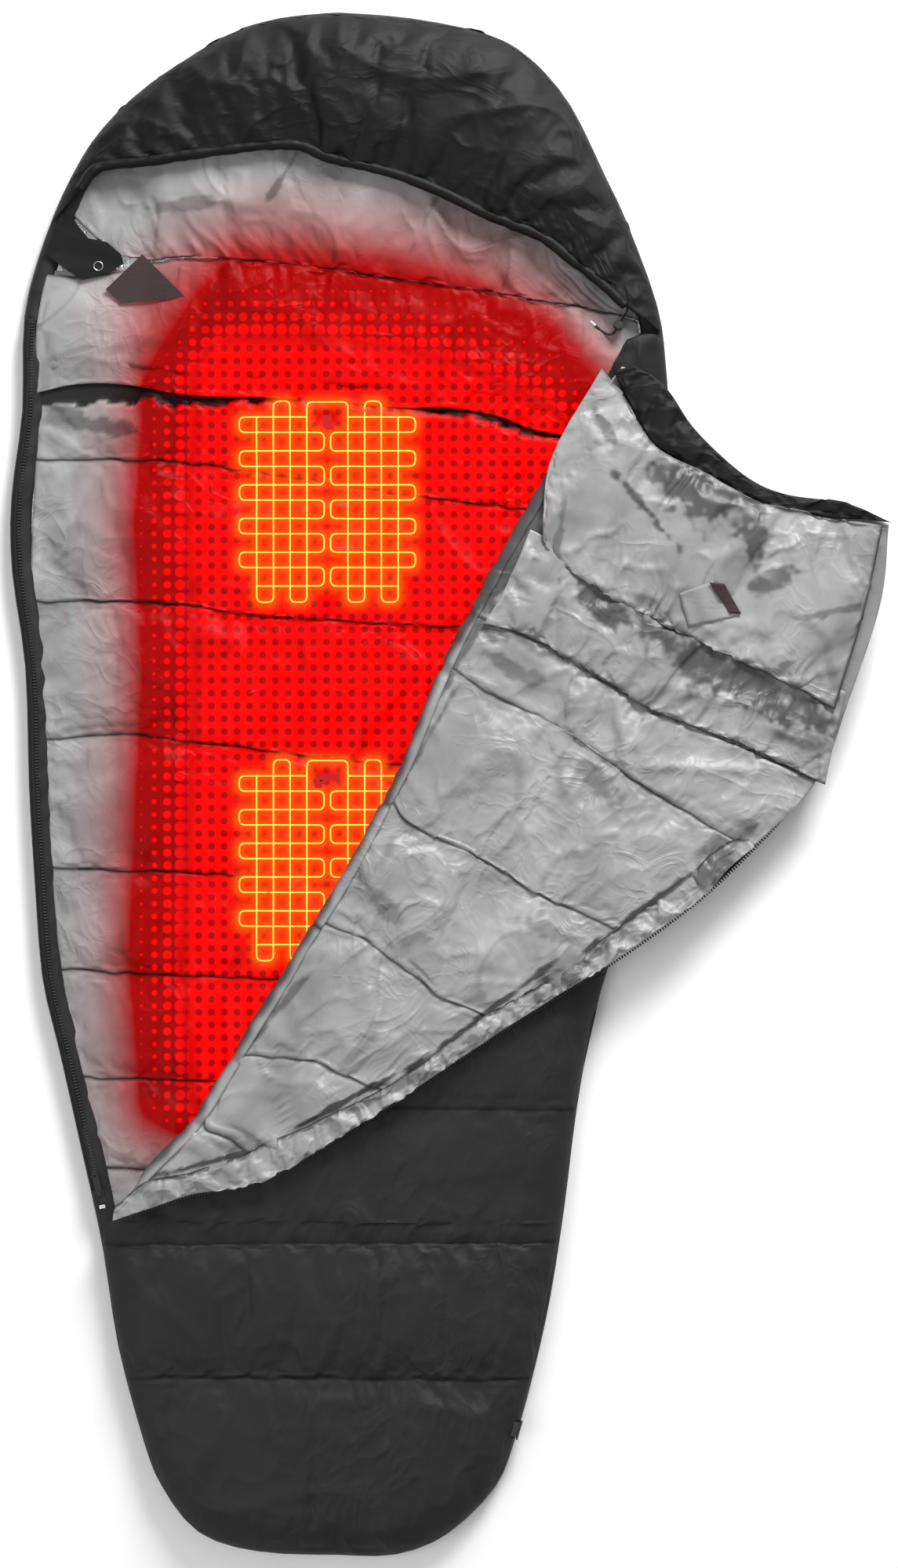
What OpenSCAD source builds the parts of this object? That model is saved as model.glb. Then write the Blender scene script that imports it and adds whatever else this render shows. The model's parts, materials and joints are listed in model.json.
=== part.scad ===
// Infrared sauna blanket: a hooded, quilted body wrap that lies on its back.
// Its front panel is unzipped along the left side and folded back to the right.
// Millimetres. +Z is up, +Y runs from the foot to the hood, z = 0 is the floor.

/* [Back panel] */
// Thickness of the outer shell cloth
shell_t = 2; // [1.5:0.1:2.5]
// Thickness of the fibre fill in the back
back_fill_t = 10.7; // [8:0.1:10.7]
// Thickness of the quilted lining
lining_t = 3; // [2:0.1:3]
// Height of the space for the body, from lining to lining
cavity_h = 14; // [14:1:40]

/* [Front panel] */
// Thickness of the fibre fill in the front
front_fill_t = 13.7; // [10:0.1:13.7]
// Thickness of the fill in the folded flap
flap_fill_t = 10; // [8:0.5:12]
// Thickness of the padded collar on the flap
collar_t = 7; // [5:0.1:7]
// Clear strip on each side of the fold line
fold_gap = 3; // [3:0.5:8]
// How far the flap folds over when it closes, in degrees
flap_travel = 176; // [90:1:178]

/* [Heating mats] */
// Middle of both mats across the blanket
mat_x = -14; // [-40:1:40]
// Middle of the upper mat along the blanket
mat_y = 385; // [340:1:390]
// Distance from the upper mat down to the lower one
mat_drop = 489; // [440:1:500]
// Spacing of the upright runs of wire
run_pitch = 22.8; // [18:0.1:24]
// Middle to the first upright run
run_inner = 28; // [26:0.5:32]
// Width of the heating wire
wire_w = 2.4; // [1.5:0.1:3]

/* [Zip] */
// Width of the zip tape
tape_w = 12; // [10:1:12]
// Width of the coil of teeth
coil_w = 4.5; // [4:0.1:4.5]
// Travel of the slider along the straight part of the zip
slider_travel = 260; // [100:10:260]

/* [Cord lock] */
// Diameter of the lock's barrel
lock_d = 14; // [13:0.5:16]
// Diameter of the drawcord
cord_d = 3; // [2:0.5:3.5]
// Travel of the plunger
plunger_travel = 4; // [3:0.5:4]

/* [Hidden] */
$fn = 48;

// Levels of the layers, from the floor up
z_fill = shell_t + 0.3;
z_foil = z_fill + back_fill_t + 0.3;
z_sheet = z_foil + 0.8 + 0.3;
z_lining = 17;
z_face = z_lining + lining_t;
z_front = z_face + cavity_h;
z_front_fill = z_front + 2.3;
z_front_shell = z_front_fill + front_fill_t + 0.3;
z_top = z_front_shell + shell_t;
z_fold = z_top + 0.7;
z_flap = z_fold + 0.7;
z_flap_fill = z_flap + shell_t + 0.3;
z_flap_lining = z_flap_fill + flap_fill_t + 0.3;
z_facing = z_flap_lining + 2.3;
z_collar = z_facing + 3.7;

// Outline of the blanket, left side from the crown down to the foot
left_side = [
  [0, 1054], [-80, 1046], [-153, 1022], [-255, 958], [-322, 895],
  [-363, 831], [-400, 745], [-428, 640], [-431, 510], [-446, 390],
  [-445, 290], [-427, 160], [-422, 0], [-415, -120], [-404, -262],
  [-381, -362], [-350, -500], [-336, -562], [-320, -640], [-300, -767],
  [-266, -895], [-240, -960], [-190, -1022], [-110, -1048], [0, -1053]
];
// Right side, from the foot up to the crown
right_side = [
  [80, -1052], [150, -1024], [215, -960], [242, -895], [266, -810],
  [290, -703], [310, -575], [326, -447], [349, -320], [385, -190],
  [412, 0], [430, 150], [445, 300], [452, 480], [448, 575], [436, 655],
  [395, 767], [365, 831], [318, 927], [264, 990], [205, 1024], [100, 1046]
];

// The fold line of the front panel, from the zip's foot end to the neck
fold_a = [-309, -591];
fold_b = [373, 554];
fold_len = norm(fold_b - fold_a);
fold_u = (fold_b - fold_a) / fold_len;
fold_n = [fold_u[1], -fold_u[0]];

// Edges of the folded flap
zip_edge = [
  [-278, -580], [-195, -556], [-92, -533], [67, -437], [219, -337],
  [386, -232], [492, -154], [568, -84], [600, -48], [632, 10]
];
neck_edge = [
  [672, 80], [715, 180], [742, 280], [752, 355], [692, 381], [607, 394],
  [552, 420], [488, 479], [453, 530], [430, 553]
];
band_edge = [
  [722, 357], [655, 361], [570, 382], [514, 412], [437, 453], [410, 487],
  [386, 530]
];

// Lower edges of the collar and of its facing, from the fold to the right
collar_low = [[286, 345], [286, 300], [375, 250], [490, 193], [666, 104]];
facing_low = [[212, 214], [256, 200], [320, 165], [428, 100], [543, 54], [652, 4]];

// Brow of the hood, from its left end to its right end
brow = [
  [-350, 808], [-324, 838], [-256, 848], [-197, 857], [-67, 870], [-11, 852],
  [75, 831], [141, 806], [201, 776], [276, 745], [320, 712], [363, 678],
  [390, 654]
];

// Seam at the neck and lower edge of the back draft collar
neck_seam = [[-262, 704], [-197, 717], [-50, 706], [181, 674], [330, 640]];
back_collar_low = [
  [-395, 533], [-357, 545], [-293, 545], [-198, 529], [-97, 527],
  [71, 513], [155, 513], [222, 501], [262, 485], [295, 462]
];

// Neck tab: where it is hinged, its length and its base
tab_a = [-316, 674];
tab_b = [-266, 722];
tab_u = (tab_b - tab_a) / norm(tab_b - tab_a);
tab_out = [tab_u[1], -tab_u[0]];

// Straight stretch of the zip that the slider runs on
slide_a = [-324, -562];
slide_b = [-392, -262];
slide_u = (slide_b - slide_a) / norm(slide_b - slide_a);
slide_angle = atan2(slide_u[1], slide_u[0]);

// Route of the free end of the drawcord, on through its lock:
// distance along the fold line past the neck, distance to its right, height
lock_at = [66, -28];
cord_z = z_face + 7.4;
cord_steps = [
  [94.6, -36.6, z_front + 3.5], [94.2, -33.4, z_front + 3.3],
  [92.8, -30.6, z_front + 2.2], [90.6, -28.8, z_front], [88, -28.1, z_face + 11.2],
  [85, -28, z_face + 8.8], [82, -28, z_face + 7.7], [79, -28, cord_z],
  [66, -28, cord_z], [55, -28, cord_z], [51.5, -29.2, z_face + 6.4],
  [49, -32.5, z_face + 4.4], [48, -37.5, z_face + 2.9], [48, -43.5, z_face + 2.5],
  [48.8, -49.5, z_face + 2.5], [50, -55, z_face + 2.5]
];
cord_route = [for (p = cord_steps) [beside(p[0], p[1])[0], beside(p[0], p[1])[1], p[2]]];

// A point at distance t along the fold line from its neck end, d to its right
function beside(t, d) = fold_b + t * fold_u + d * fold_n;

// A cubic through four neighbouring points
function cubic(a, b, c, d, t) = 0.5 * (2 * b + (c - a) * t
  + (2 * a - 5 * b + 4 * c - d) * t * t + (3 * b - a - 3 * c + d) * t * t * t);

// Smooth curve through an open row of points, steps per span
function smooth(p, steps = 4) = [
  for (i = [0 : len(p) - 2])
    for (k = [0 : steps - (i == len(p) - 2 ? 0 : 1)])
      cubic(p[max(i - 1, 0)], p[i], p[i + 1], p[min(i + 2, len(p) - 1)], k / steps)
];

// The same row of points moved sideways by d, to the right of its direction
function side_of(p, i) =
  let (a = p[max(i - 1, 0)], b = p[min(i + 1, len(p) - 1)], u = (b - a) / norm(b - a))
  [u[1], -u[0]];
function moved(p, d) = [for (i = [0 : len(p) - 1]) p[i] + d * side_of(p, i)];
function turned(p) = [for (i = [len(p) - 1 : -1 : 0]) p[i]];

// The blanket's outline, drawn in by d all round
outline_row = smooth(concat(left_side, right_side, [[0, 1054]]), 3);
function outline(d = 0) =
  let (n = len(outline_row) - 1)
  [for (i = [0 : n - 1])
    let (
      a = outline_row[(i + n - 1) % n],
      b = outline_row[(i + 1) % n],
      u = (b - a) / norm(b - a)
    ) outline_row[i] + d * [-u[1], u[0]]];

// The open left edge, from the neck down to the foot end of the zip
left_edge = [for (i = [21 : 51]) outline_row[i]];

// A flat layer between two heights
module layer(z, t) {
  translate([0, 0, z]) linear_extrude(t) children();
}

// A band along a row of points, from a to b on its right
module band(path, a, b) {
  polygon(concat(moved(path, a), turned(moved(path, b))));
}

// Everything to the right of the fold line, past a clear strip
module right_of_fold(gap, top = 86) {
  polygon([
    beside(-fold_len - 400, gap), beside(top, gap), beside(top, 900),
    beside(-fold_len - 400, 1500)
  ]);
}

// The front panel that stays closed: right of the fold and down to the foot
module front_outline(d) {
  intersection() {
    polygon(outline(d));
    right_of_fold(fold_gap);
  }
}

// The hood in plan: from the brow up to the crown
module hood_outline(d, back) {
  intersection() {
    polygon(outline(d));
    polygon(concat(moved(smooth(brow), -back), [
      beside(88, -22), beside(88, 400), [700, 1300], [-700, 1300], [-700, 800]
    ]));
  }
}

// The folded flap in plan
module flap_outline(d) {
  zip = moved(smooth(zip_edge, 3), -d);
  neck = moved(smooth(neck_edge, 3), -d);
  intersection() {
    polygon(concat([beside(-fold_len + 8, fold_gap)], zip, neck, [beside(28, fold_gap)]));
    right_of_fold(fold_gap, 42);
  }
}

// ---- Back panel ----

module back_shell() {
  color([0.1, 0.1, 0.11]) layer(0, shell_t) polygon(outline());
}

module back_fill() {
  color([0.85, 0.85, 0.83]) difference() {
    layer(z_fill, back_fill_t) polygon(outline(24));
    harness_run(1, 6);
    feed_holes();
    for (y = [mat_y, mat_y - mat_drop])
      translate([mat_x + 22, y + 60, 0]) cylinder(d = 14, h = 8);
  }
}

module radiant_foil() {
  color([0.75, 0.76, 0.78]) difference() {
    layer(z_foil, 0.8) polygon(outline(26));
    feed_holes();
  }
}

// The lining of the body, from the foot up to the neck seam
module back_lining() {
  color([0.66, 0.66, 0.67]) difference() {
    layer(z_lining, lining_t) intersection() {
      polygon(outline(24));
      polygon(concat([[-700, 700], [-290, 700]], smooth(neck_seam),
        [[700, 620], [700, -1200], [-700, -1200]]));
    }
    feed_holes();
  }
}

// The lining of the hood behind the head, above the neck seam
module hood_back_lining() {
  color([0.68, 0.68, 0.69]) layer(z_lining, lining_t) intersection() {
    polygon(outline(24));
    polygon(concat([[-700, 701], [-290, 701]], moved(smooth(neck_seam), -1),
      [[700, 621], [700, 1300], [-700, 1300]]));
  }
}

// Padded collar behind the neck, loose along its lower edge, hollowed over the top of the upper mat
module back_draft_collar() {
  color([0.6, 0.6, 0.61]) difference() {
    layer(z_face + 0.3, 5) intersection() {
      polygon(outline(30));
      polygon(concat(
        [[-700, 662], [-330, 662], [-255, 652], [-200, 690]],
        smooth([for (i = [1 : 4]) neck_seam[i]]),
        turned(smooth(back_collar_low)),
        [[-700, 533]]
      ));
    }
    translate([mat_x - 100, mat_y + 110, z_face]) cube([200, 32, 2.6]);
  }
}

// Bound seam round the open left edge of the back panel
module edge_binding() {
  color([0.09, 0.09, 0.1]) layer(z_fill, 14.4) band(left_edge, -1, -5);
}

// ---- Heating mats ----

// A round-cornered arch standing on y = 0, as a row of points
function arch(w, depth, r) = concat(
  [[-w / 2, 0]],
  [for (a = [180 : -18 : 90]) [-w / 2 + r + r * cos(a), depth - r + r * sin(a)]],
  [for (a = [90 : -18 : 0]) [w / 2 - r + r * cos(a), depth - r + r * sin(a)]],
  [[w / 2, 0]]
);

// One U-turn of wire between two runs that are w apart
module u_turn(w, depth) {
  r = min(8, w / 2);
  polygon(concat(
    arch(w + wire_w, depth + wire_w / 2, r + wire_w / 2),
    turned(arch(w - wire_w, depth - wire_w / 2, r - wire_w / 2))
  ));
}

// One half of a mat: four upright runs and eleven level runs of one wire
module wire_half(side) {
  step = 20.8;
  gap = 25.2;
  outer = run_inner + 3 * run_pitch;
  rows = [for (j = [0 : 10]) 115 - floor(j / 2) * (step + gap) - (j % 2) * step];
  // upright runs
  for (i = [0 : 3])
    layer(z_face, 1.2)
      translate([side * (run_inner + i * run_pitch) - wire_w / 2, -122])
        square([wire_w, i == 3 ? 237 : 244]);
  // turns above and below them
  layer(z_face, 1.2) translate([side * (run_inner + 1.5 * run_pitch), 121])
    u_turn(run_pitch, 16);
  for (i = [0, 2])
    layer(z_face, 1.2) translate([side * (run_inner + (i + 0.5) * run_pitch), -121])
      mirror([0, 1]) u_turn(run_pitch, 16);
  // level runs
  for (j = [0 : 10]) {
    near = j == 0 ? run_inner : run_inner - 12;
    far = j == 10 ? outer : outer + 12;
    layer(z_face + 1, 1.2)
      translate([side > 0 ? near : -far, rows[j] - wire_w / 2])
        square([far - near, wire_w]);
  }
  // turns outside and inside them
  for (j = [0 : 2 : 8])
    layer(z_face + 1, 1.2)
      translate([side * (outer + 11.5), (rows[j] + rows[j + 1]) / 2])
        rotate(-side * 90) u_turn(step, 12);
  for (j = [1 : 2 : 9])
    layer(z_face + 1, 1.2)
      translate([side * (run_inner - 11.5), (rows[j] + rows[j + 1]) / 2])
        rotate(side * 90) u_turn(gap, 12);
}

module heater_wire(y) {
  color([1, 0.72, 0.1]) translate([mat_x, y, 0]) {
    wire_half(-1);
    wire_half(1);
    layer(z_face, 1.2) translate([0, 121]) u_turn(2 * run_inner, 15);
  }
}

module infrared_sheet(y) {
  color([0.35, 0.1, 0.08]) difference() {
    layer(z_sheet, 1) translate([mat_x - 135, y - 150]) square([270, 300]);
    feed_holes();
  }
}

module terminal_block(y) {
  color([0.45, 0.05, 0.04]) difference() {
    translate([mat_x - 17, y + 98, z_face]) cube([34, 20, 3.5]);
    for (s = [-1, 1]) translate([mat_x + s * 8, y + 108, z_face + 1.5]) cylinder(d = 4, h = 4);
  }
}

module thermostat(y) {
  color([0.3, 0.3, 0.32]) translate([mat_x + 22, y + 60, z_fill + 0.3])
    cylinder(d = 12, h = 4);
}

module upper_heater_wire() { heater_wire(mat_y); }
module lower_heater_wire() { heater_wire(mat_y - mat_drop); }
module upper_infrared_sheet() { infrared_sheet(mat_y); }
module lower_infrared_sheet() { infrared_sheet(mat_y - mat_drop); }
module upper_terminal_block() { terminal_block(mat_y); }
module lower_terminal_block() { terminal_block(mat_y - mat_drop); }
module upper_thermostat() { thermostat(mat_y); }
module lower_thermostat() { thermostat(mat_y - mat_drop); }

// Flat cable from the inlet up the middle of the back, and its channel
module harness_run(grow, h) {
  translate([mat_x - 5 - grow, -890 - grow, shell_t + 0.2])
    cube([229 - mat_x + 2 * grow, 10 + 2 * grow, h]);
  translate([mat_x - 5 - grow, -890 - grow, shell_t + 0.2])
    cube([10 + 2 * grow, 890 + mat_y + 113 + 2 * grow, h]);
}

// Holes that let the cable up to the terminal blocks and in from the inlet
module feed_holes() {
  for (y = [mat_y, mat_y - mat_drop])
    translate([mat_x, y + 108, 3]) cylinder(d = 8, h = 30);
  translate([216.5, -891.5, 1.5]) cube([9, 13, 30]);
}

module heater_harness() {
  color([0.2, 0.2, 0.22]) {
    translate([0, 0, 0.4]) harness_run(0, 3);
    for (y = [mat_y, mat_y - mat_drop])
      translate([mat_x, y + 108, 5]) cylinder(d = 6, h = z_face - 5);
    translate([218, -890, z_fill + 0.3]) cube([6, 10, 24]);
  }
}

// Place and turn a piece on the side wall near the foot, +X outward
module at_inlet() {
  translate([246, -880, 0]) rotate(-15.8) children();
}

module power_inlet() {
  color([0.12, 0.12, 0.13]) at_inlet() difference() {
    union() {
      translate([-16, -10, z_face + 1]) cube([16, 20, 12]);
      translate([0.3, -13, z_face - 1]) cube([2.2, 26, 16]);
    }
    for (s = [-1, 1])
      translate([-9, s * 4.5, z_face + 7]) rotate([0, 90, 0]) cylinder(d = 5, h = 20);
  }
}

module inlet_contacts() {
  color([0.8, 0.66, 0.3]) at_inlet() for (s = [-1, 1])
    translate([-9, s * 4.5, z_face + 7]) rotate([0, 90, 0]) cylinder(d = 2.4, h = 8);
}

// ---- Front panel that stays closed, with its side walls ----

module front_shell() {
  color([0.1, 0.1, 0.11]) layer(z_front_shell, shell_t) front_outline(0);
}

module front_fill() {
  color([0.85, 0.85, 0.83]) layer(z_front_fill, front_fill_t) front_outline(12);
}

module front_lining() {
  color([0.66, 0.66, 0.67]) layer(z_front, 2) front_outline(12);
}

module body_gusset() {
  path = [for (i = [52 : 118]) outline_row[i]];
  color([0.09, 0.09, 0.1]) difference() {
    layer(z_fill, z_front_shell - z_fill - 0.3) band(path, -1, -6);
    at_inlet() translate([-12, -10.3, z_face + 0.7]) cube([14, 20.6, 12.6]);
  }
}

// ---- Hood ----

module hood_shell() {
  color([0.06, 0.06, 0.07]) layer(z_front_shell, shell_t) hood_outline(0, 8);
}

module hood_fill() {
  color([0.85, 0.85, 0.83]) layer(z_front_fill, front_fill_t) hood_outline(12, 8);
}

module hood_lining() {
  color([0.66, 0.66, 0.67]) layer(z_front, 2) hood_outline(12, 8);
}

module hood_gusset() {
  path = concat([for (i = [121 : 141]) outline_row[i]], [for (i = [1 : 16]) outline_row[i]]);
  color([0.06, 0.06, 0.07]) layer(z_fill, z_front_shell - z_fill - 0.3) band(path, -1, -6);
}

// Hem along the brow, with a channel for the drawcord
module hood_hem() {
  color([0.05, 0.05, 0.06]) difference() {
    layer(z_front, z_top - z_front) band(smooth(brow), -7, 5);
    layer(z_front + 1.5, 4) band(smooth(brow), -2.5, 2.5);
  }
}

module hood_drawcord() {
  color([0.08, 0.08, 0.08]) layer(z_front + 2, cord_d) band(smooth(brow), -1.5, 1.5);
}

// ---- Zip on the body ----

module zip_tape_body() {
  color([0.08, 0.08, 0.08]) layer(z_face + 0.3, 0.8) band(left_edge, -2, -2 - tape_w);
}

module zip_teeth_body() {
  color([0.14, 0.14, 0.15]) layer(z_face + 1.1, 2.5) band(left_edge, -10.5, -10.5 - coil_w);
}

// Place a piece at the slider's lowest point: +X up the zip, +Y outward
module at_slider() {
  translate([slide_a[0], slide_a[1], z_face]) rotate(slide_angle) children();
}

module zip_stop() {
  color([0.6, 0.6, 0.62]) at_slider() translate([-17, -4, 0]) cube([5, 8, 5]);
}

module zip_slider() {
  color([0.12, 0.12, 0.13]) at_slider() {
    slider_plate(-2.4);
    slider_plate(4.3);
    translate([-9, -6.4, -1]) cube([18, 2.2, 6]);
    for (s = [-1, 1]) translate([-2.5, s * 3.6 - 0.6, 6]) cube([5, 1.2, 3.6]);
    translate([0, -4, 8]) rotate([-90, 0, 0]) cylinder(d = 1.6, h = 8);
  }
}

module slider_plate(z) {
  translate([0, -0.7, z]) linear_extrude(2) polygon([
    [-9, -5.7], [7, -5.7], [9, -3.5], [9, 3.5], [7, 5.7], [-6, 5.7], [-9, 3]
  ]);
}

module zip_pull() {
  color([0.5, 0.5, 0.52]) at_slider() difference() {
    union() {
      translate([0, 2.7, 8]) rotate([90, 0, 0]) cylinder(d = 3.4, h = 5.4);
      translate([0, -2.7, 7]) cube([8, 5.4, 1.8]);
      translate([7, -4.5, 7]) cube([22, 9, 1.8]);
      translate([29, 0, 7]) cylinder(d = 9, h = 1.8);
    }
    translate([0, 4, 8]) rotate([90, 0, 0]) cylinder(d = 2, h = 8);
    translate([29, 0, 6]) cylinder(d = 4, h = 4);
  }
}

// ---- Folded flap ----

module flap_shell() {
  color([0.1, 0.1, 0.11]) layer(z_flap, shell_t) flap_outline(0);
}

module flap_fill() {
  color([0.85, 0.85, 0.83]) layer(z_flap_fill, flap_fill_t) flap_outline(8);
}

module flap_lining() {
  color([0.68, 0.68, 0.69]) layer(z_flap_lining, 2) flap_outline(15);
}

module zip_tape_flap() {
  color([0.2, 0.2, 0.2]) layer(z_flap_lining, 0.8) band(smooth(zip_edge, 3), -1, -13);
}

module zip_teeth_flap() {
  color([0.14, 0.14, 0.15]) layer(z_flap_lining + 0.8, 2.5) band(smooth(zip_edge, 3), 0.5, -4);
}

module flap_draft_tube() {
  path = smooth([for (i = [0 : 7]) zip_edge[i]], 3);
  color([0.6, 0.6, 0.61]) layer(z_flap_lining + 3.6, 7) band(path, -5, -30);
}

module collar_facing() {
  color([0.66, 0.66, 0.67]) layer(z_facing, 3.4) polygon(concat(
    smooth(facing_low), [[668, 60], [690, 150], [712, 230], [726, 345]],
    smooth(band_edge)
  ));
}

module flap_collar() {
  color([0.6, 0.6, 0.61]) layer(z_collar, collar_t) polygon(concat(
    smooth(collar_low), [[690, 170], [714, 231], [728, 346]], smooth(band_edge)
  ));
}

// Bound band along the neck edge of the flap, outside the collar
module neck_band() {
  outer = smooth([for (i = [3 : 9]) neck_edge[i]]);
  color([0.07, 0.07, 0.08]) layer(z_facing, 8) polygon(concat(
    moved(outer, -1), turned(moved(smooth(band_edge), 3))
  ));
}

module loop_patch() {
  color([0.5, 0.5, 0.5]) layer(z_collar + collar_t, 0.8) polygon([
    [463, 258], [524, 274], [547, 230], [474, 212]
  ]);
}

// ---- Neck tab ----

module tab_base() {
  color([0.06, 0.06, 0.07]) layer(z_face + 0.3, 5.2) polygon([
    [-398, 722], [-376, 780], [-360, 770], [-340, 744], [-315, 739],
    [-296, 723], [-292, 710], [-312, 697], [-348, 687], [-372, 703]
  ]);
}

module neck_tab() {
  color([0.08, 0.08, 0.08]) layer(z_face + 5.8, 2) polygon([
    tab_a, tab_b, tab_a + 71 * tab_u + 82 * tab_out, tab_a + 2 * tab_u + 29 * tab_out
  ]);
}

module tab_ring() {
  color([0.75, 0.76, 0.78]) translate([-326, 706, z_face + 6.4]) rotate_extrude()
    translate([6, 0]) circle(d = 1.6);
}

// ---- Cord lock on the drawcord ----

module at_lock() {
  c = beside(lock_at[0], lock_at[1]);
  translate([c[0], c[1], z_face + 0.4]) rotate(atan2(fold_u[1], fold_u[0])) children();
}

module cord_lock_body() {
  color([0.06, 0.06, 0.06]) at_lock() difference() {
    cylinder(d = lock_d, h = 14);
    translate([0, 0, 0.8]) cylinder(d = 9.6, h = 14);
    translate([-10, 0, 7]) rotate([0, 90, 0]) cylinder(d = cord_d + 0.6, h = 20);
  }
}

module cord_lock_plunger() {
  color([0.09, 0.09, 0.09]) at_lock() difference() {
    union() {
      translate([0, 0, 5]) cylinder(d = 9, h = 14);
      translate([0, 0, 18.5]) cylinder(d = 11, h = 2);
    }
    hull() for (z = [7, 7 + plunger_travel + 0.2])
      translate([-8, 0, z]) rotate([0, 90, 0]) cylinder(d = cord_d + 0.6, h = 16);
  }
}

// Points of a ring round a row of 3D points, and the tube over all the rings
function tube_points(p, r, n) = [
  for (i = [0 : len(p) - 1])
    let (
      a = p[max(i - 1, 0)], b = p[min(i + 1, len(p) - 1)],
      u = (b - a) / norm(b - a),
      s = cross(u, abs(u[2]) < 0.8 ? [0, 0, 1] : [1, 0, 0]),
      v = s / norm(s), w = cross(v, u)
    )
    for (k = [0 : n - 1]) p[i] + r * (cos(k * 360 / n) * v + sin(k * 360 / n) * w)
];
module tube(p, r, n) {
  m = len(p);
  polyhedron(tube_points(p, r, n), concat(
    [[for (k = [0 : n - 1]) k]],
    [for (i = [0 : m - 2]) for (k = [0 : n - 1])
      [i * n + k, (i + 1) * n + k, (i + 1) * n + (k + 1) % n, i * n + (k + 1) % n]],
    [[for (k = [n - 1 : -1 : 0]) (m - 1) * n + k]]
  ));
}

module cord_lock_spring() {
  turns = 3;
  color([0.7, 0.7, 0.72]) at_lock() tube([
    for (i = [0 : turns * 12])
      [3.4 * cos(i * 30), 3.4 * sin(i * 30), 1.2 + i * 3.3 / (turns * 12)]
  ], 0.3, 6);
}

module drawcord_end() {
  color([0.07, 0.07, 0.07]) tube(smooth(cord_route, 3), cord_d / 2, 8);
}

module drawcord_tip() {
  e = cord_route[len(cord_route) - 1];
  f = cord_route[len(cord_route) - 2];
  color([0.8, 0.8, 0.8]) translate(e) rotate([0, 90, atan2(e[1] - f[1], e[0] - f[0])])
    cylinder(d1 = 4.4, d2 = 3, h = 9);
}

back_shell();
back_fill();
radiant_foil();
back_lining();
edge_binding();
upper_infrared_sheet();
lower_infrared_sheet();
upper_heater_wire();
lower_heater_wire();
upper_terminal_block();
lower_terminal_block();
upper_thermostat();
lower_thermostat();
heater_harness();
power_inlet();
inlet_contacts();
front_shell();
front_fill();
front_lining();
body_gusset();
hood_shell();
hood_fill();
hood_lining();
hood_gusset();
hood_hem();
hood_drawcord();
hood_back_lining();
back_draft_collar();
zip_tape_body();
zip_teeth_body();
zip_stop();
zip_slider();
zip_pull();
flap_shell();
flap_fill();
flap_lining();
flap_draft_tube();
flap_collar();
collar_facing();
neck_band();
loop_patch();
zip_tape_flap();
zip_teeth_flap();
tab_base();
neck_tab();
tab_ring();
cord_lock_body();
cord_lock_plunger();
cord_lock_spring();
drawcord_end();
drawcord_tip();
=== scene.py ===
import json
import math
import bmesh
import bpy
import numpy as np
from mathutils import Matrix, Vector
from mathutils.bvhtree import BVHTree


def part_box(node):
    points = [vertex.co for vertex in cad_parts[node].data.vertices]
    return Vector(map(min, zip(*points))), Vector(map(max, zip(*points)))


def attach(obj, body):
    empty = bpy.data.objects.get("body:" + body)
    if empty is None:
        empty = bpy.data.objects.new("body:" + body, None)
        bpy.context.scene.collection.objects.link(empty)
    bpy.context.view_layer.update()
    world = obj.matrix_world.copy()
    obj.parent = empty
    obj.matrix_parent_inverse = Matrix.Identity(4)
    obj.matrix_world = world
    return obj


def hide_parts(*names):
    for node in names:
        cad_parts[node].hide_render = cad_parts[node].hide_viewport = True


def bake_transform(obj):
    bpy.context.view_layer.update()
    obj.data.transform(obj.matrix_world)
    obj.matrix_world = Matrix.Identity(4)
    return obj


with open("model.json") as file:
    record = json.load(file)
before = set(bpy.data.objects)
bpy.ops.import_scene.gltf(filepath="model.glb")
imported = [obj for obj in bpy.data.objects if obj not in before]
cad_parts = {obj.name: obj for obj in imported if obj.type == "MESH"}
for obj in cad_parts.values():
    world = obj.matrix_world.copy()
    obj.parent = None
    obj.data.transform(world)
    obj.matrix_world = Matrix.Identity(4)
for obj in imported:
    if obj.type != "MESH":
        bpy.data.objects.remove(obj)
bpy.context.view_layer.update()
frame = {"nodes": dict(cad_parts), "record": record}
nodes = frame["nodes"]
scene = bpy.context.scene

# Camera: straight above, framed on the whole blanket
cameraLook = {"middle": (0.1518, 0.0), "tall": 2.13, "lens": 120.0, "film": 36.0}
cameraData = bpy.data.cameras.new("camera")
camera = bpy.data.objects.new("camera", cameraData)
scene.collection.objects.link(camera)
cameraData.lens = cameraLook["lens"]
cameraData.sensor_width = cameraLook["film"]
camera.location = (*cameraLook["middle"], 0.05 + cameraLook["tall"]
                   * cameraLook["lens"] / cameraLook["film"])
scene.camera = camera
scene.view_settings.view_transform = "Standard"


# Curves, grids and meshes

def spreadAlong(points, count):
    # Catmull-Rom curve through the points, then even steps along its length
    p = np.array(points, float)
    p = np.vstack([2 * p[0] - p[1], p, 2 * p[-1] - p[-2]])
    t = np.linspace(0, 1, 16, endpoint=False)[:, None]
    spans = []
    for k in range(len(p) - 3):
        a, b, c, d = p[k:k + 4]
        spans.append(0.5 * (2 * b + (c - a) * t + (2 * a - 5 * b + 4 * c - d) * t ** 2
                            + (3 * b - a - 3 * c + d) * t ** 3))
    dense = np.vstack(spans + [p[-2:-1]])
    run = np.concatenate([[0], np.cumsum(np.linalg.norm(np.diff(dense, axis=0), axis=1))])
    at = np.linspace(0, run[-1], count)
    return np.stack([np.interp(at, run, dense[:, k]) for k in range(p.shape[1])], axis=1)


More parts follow.
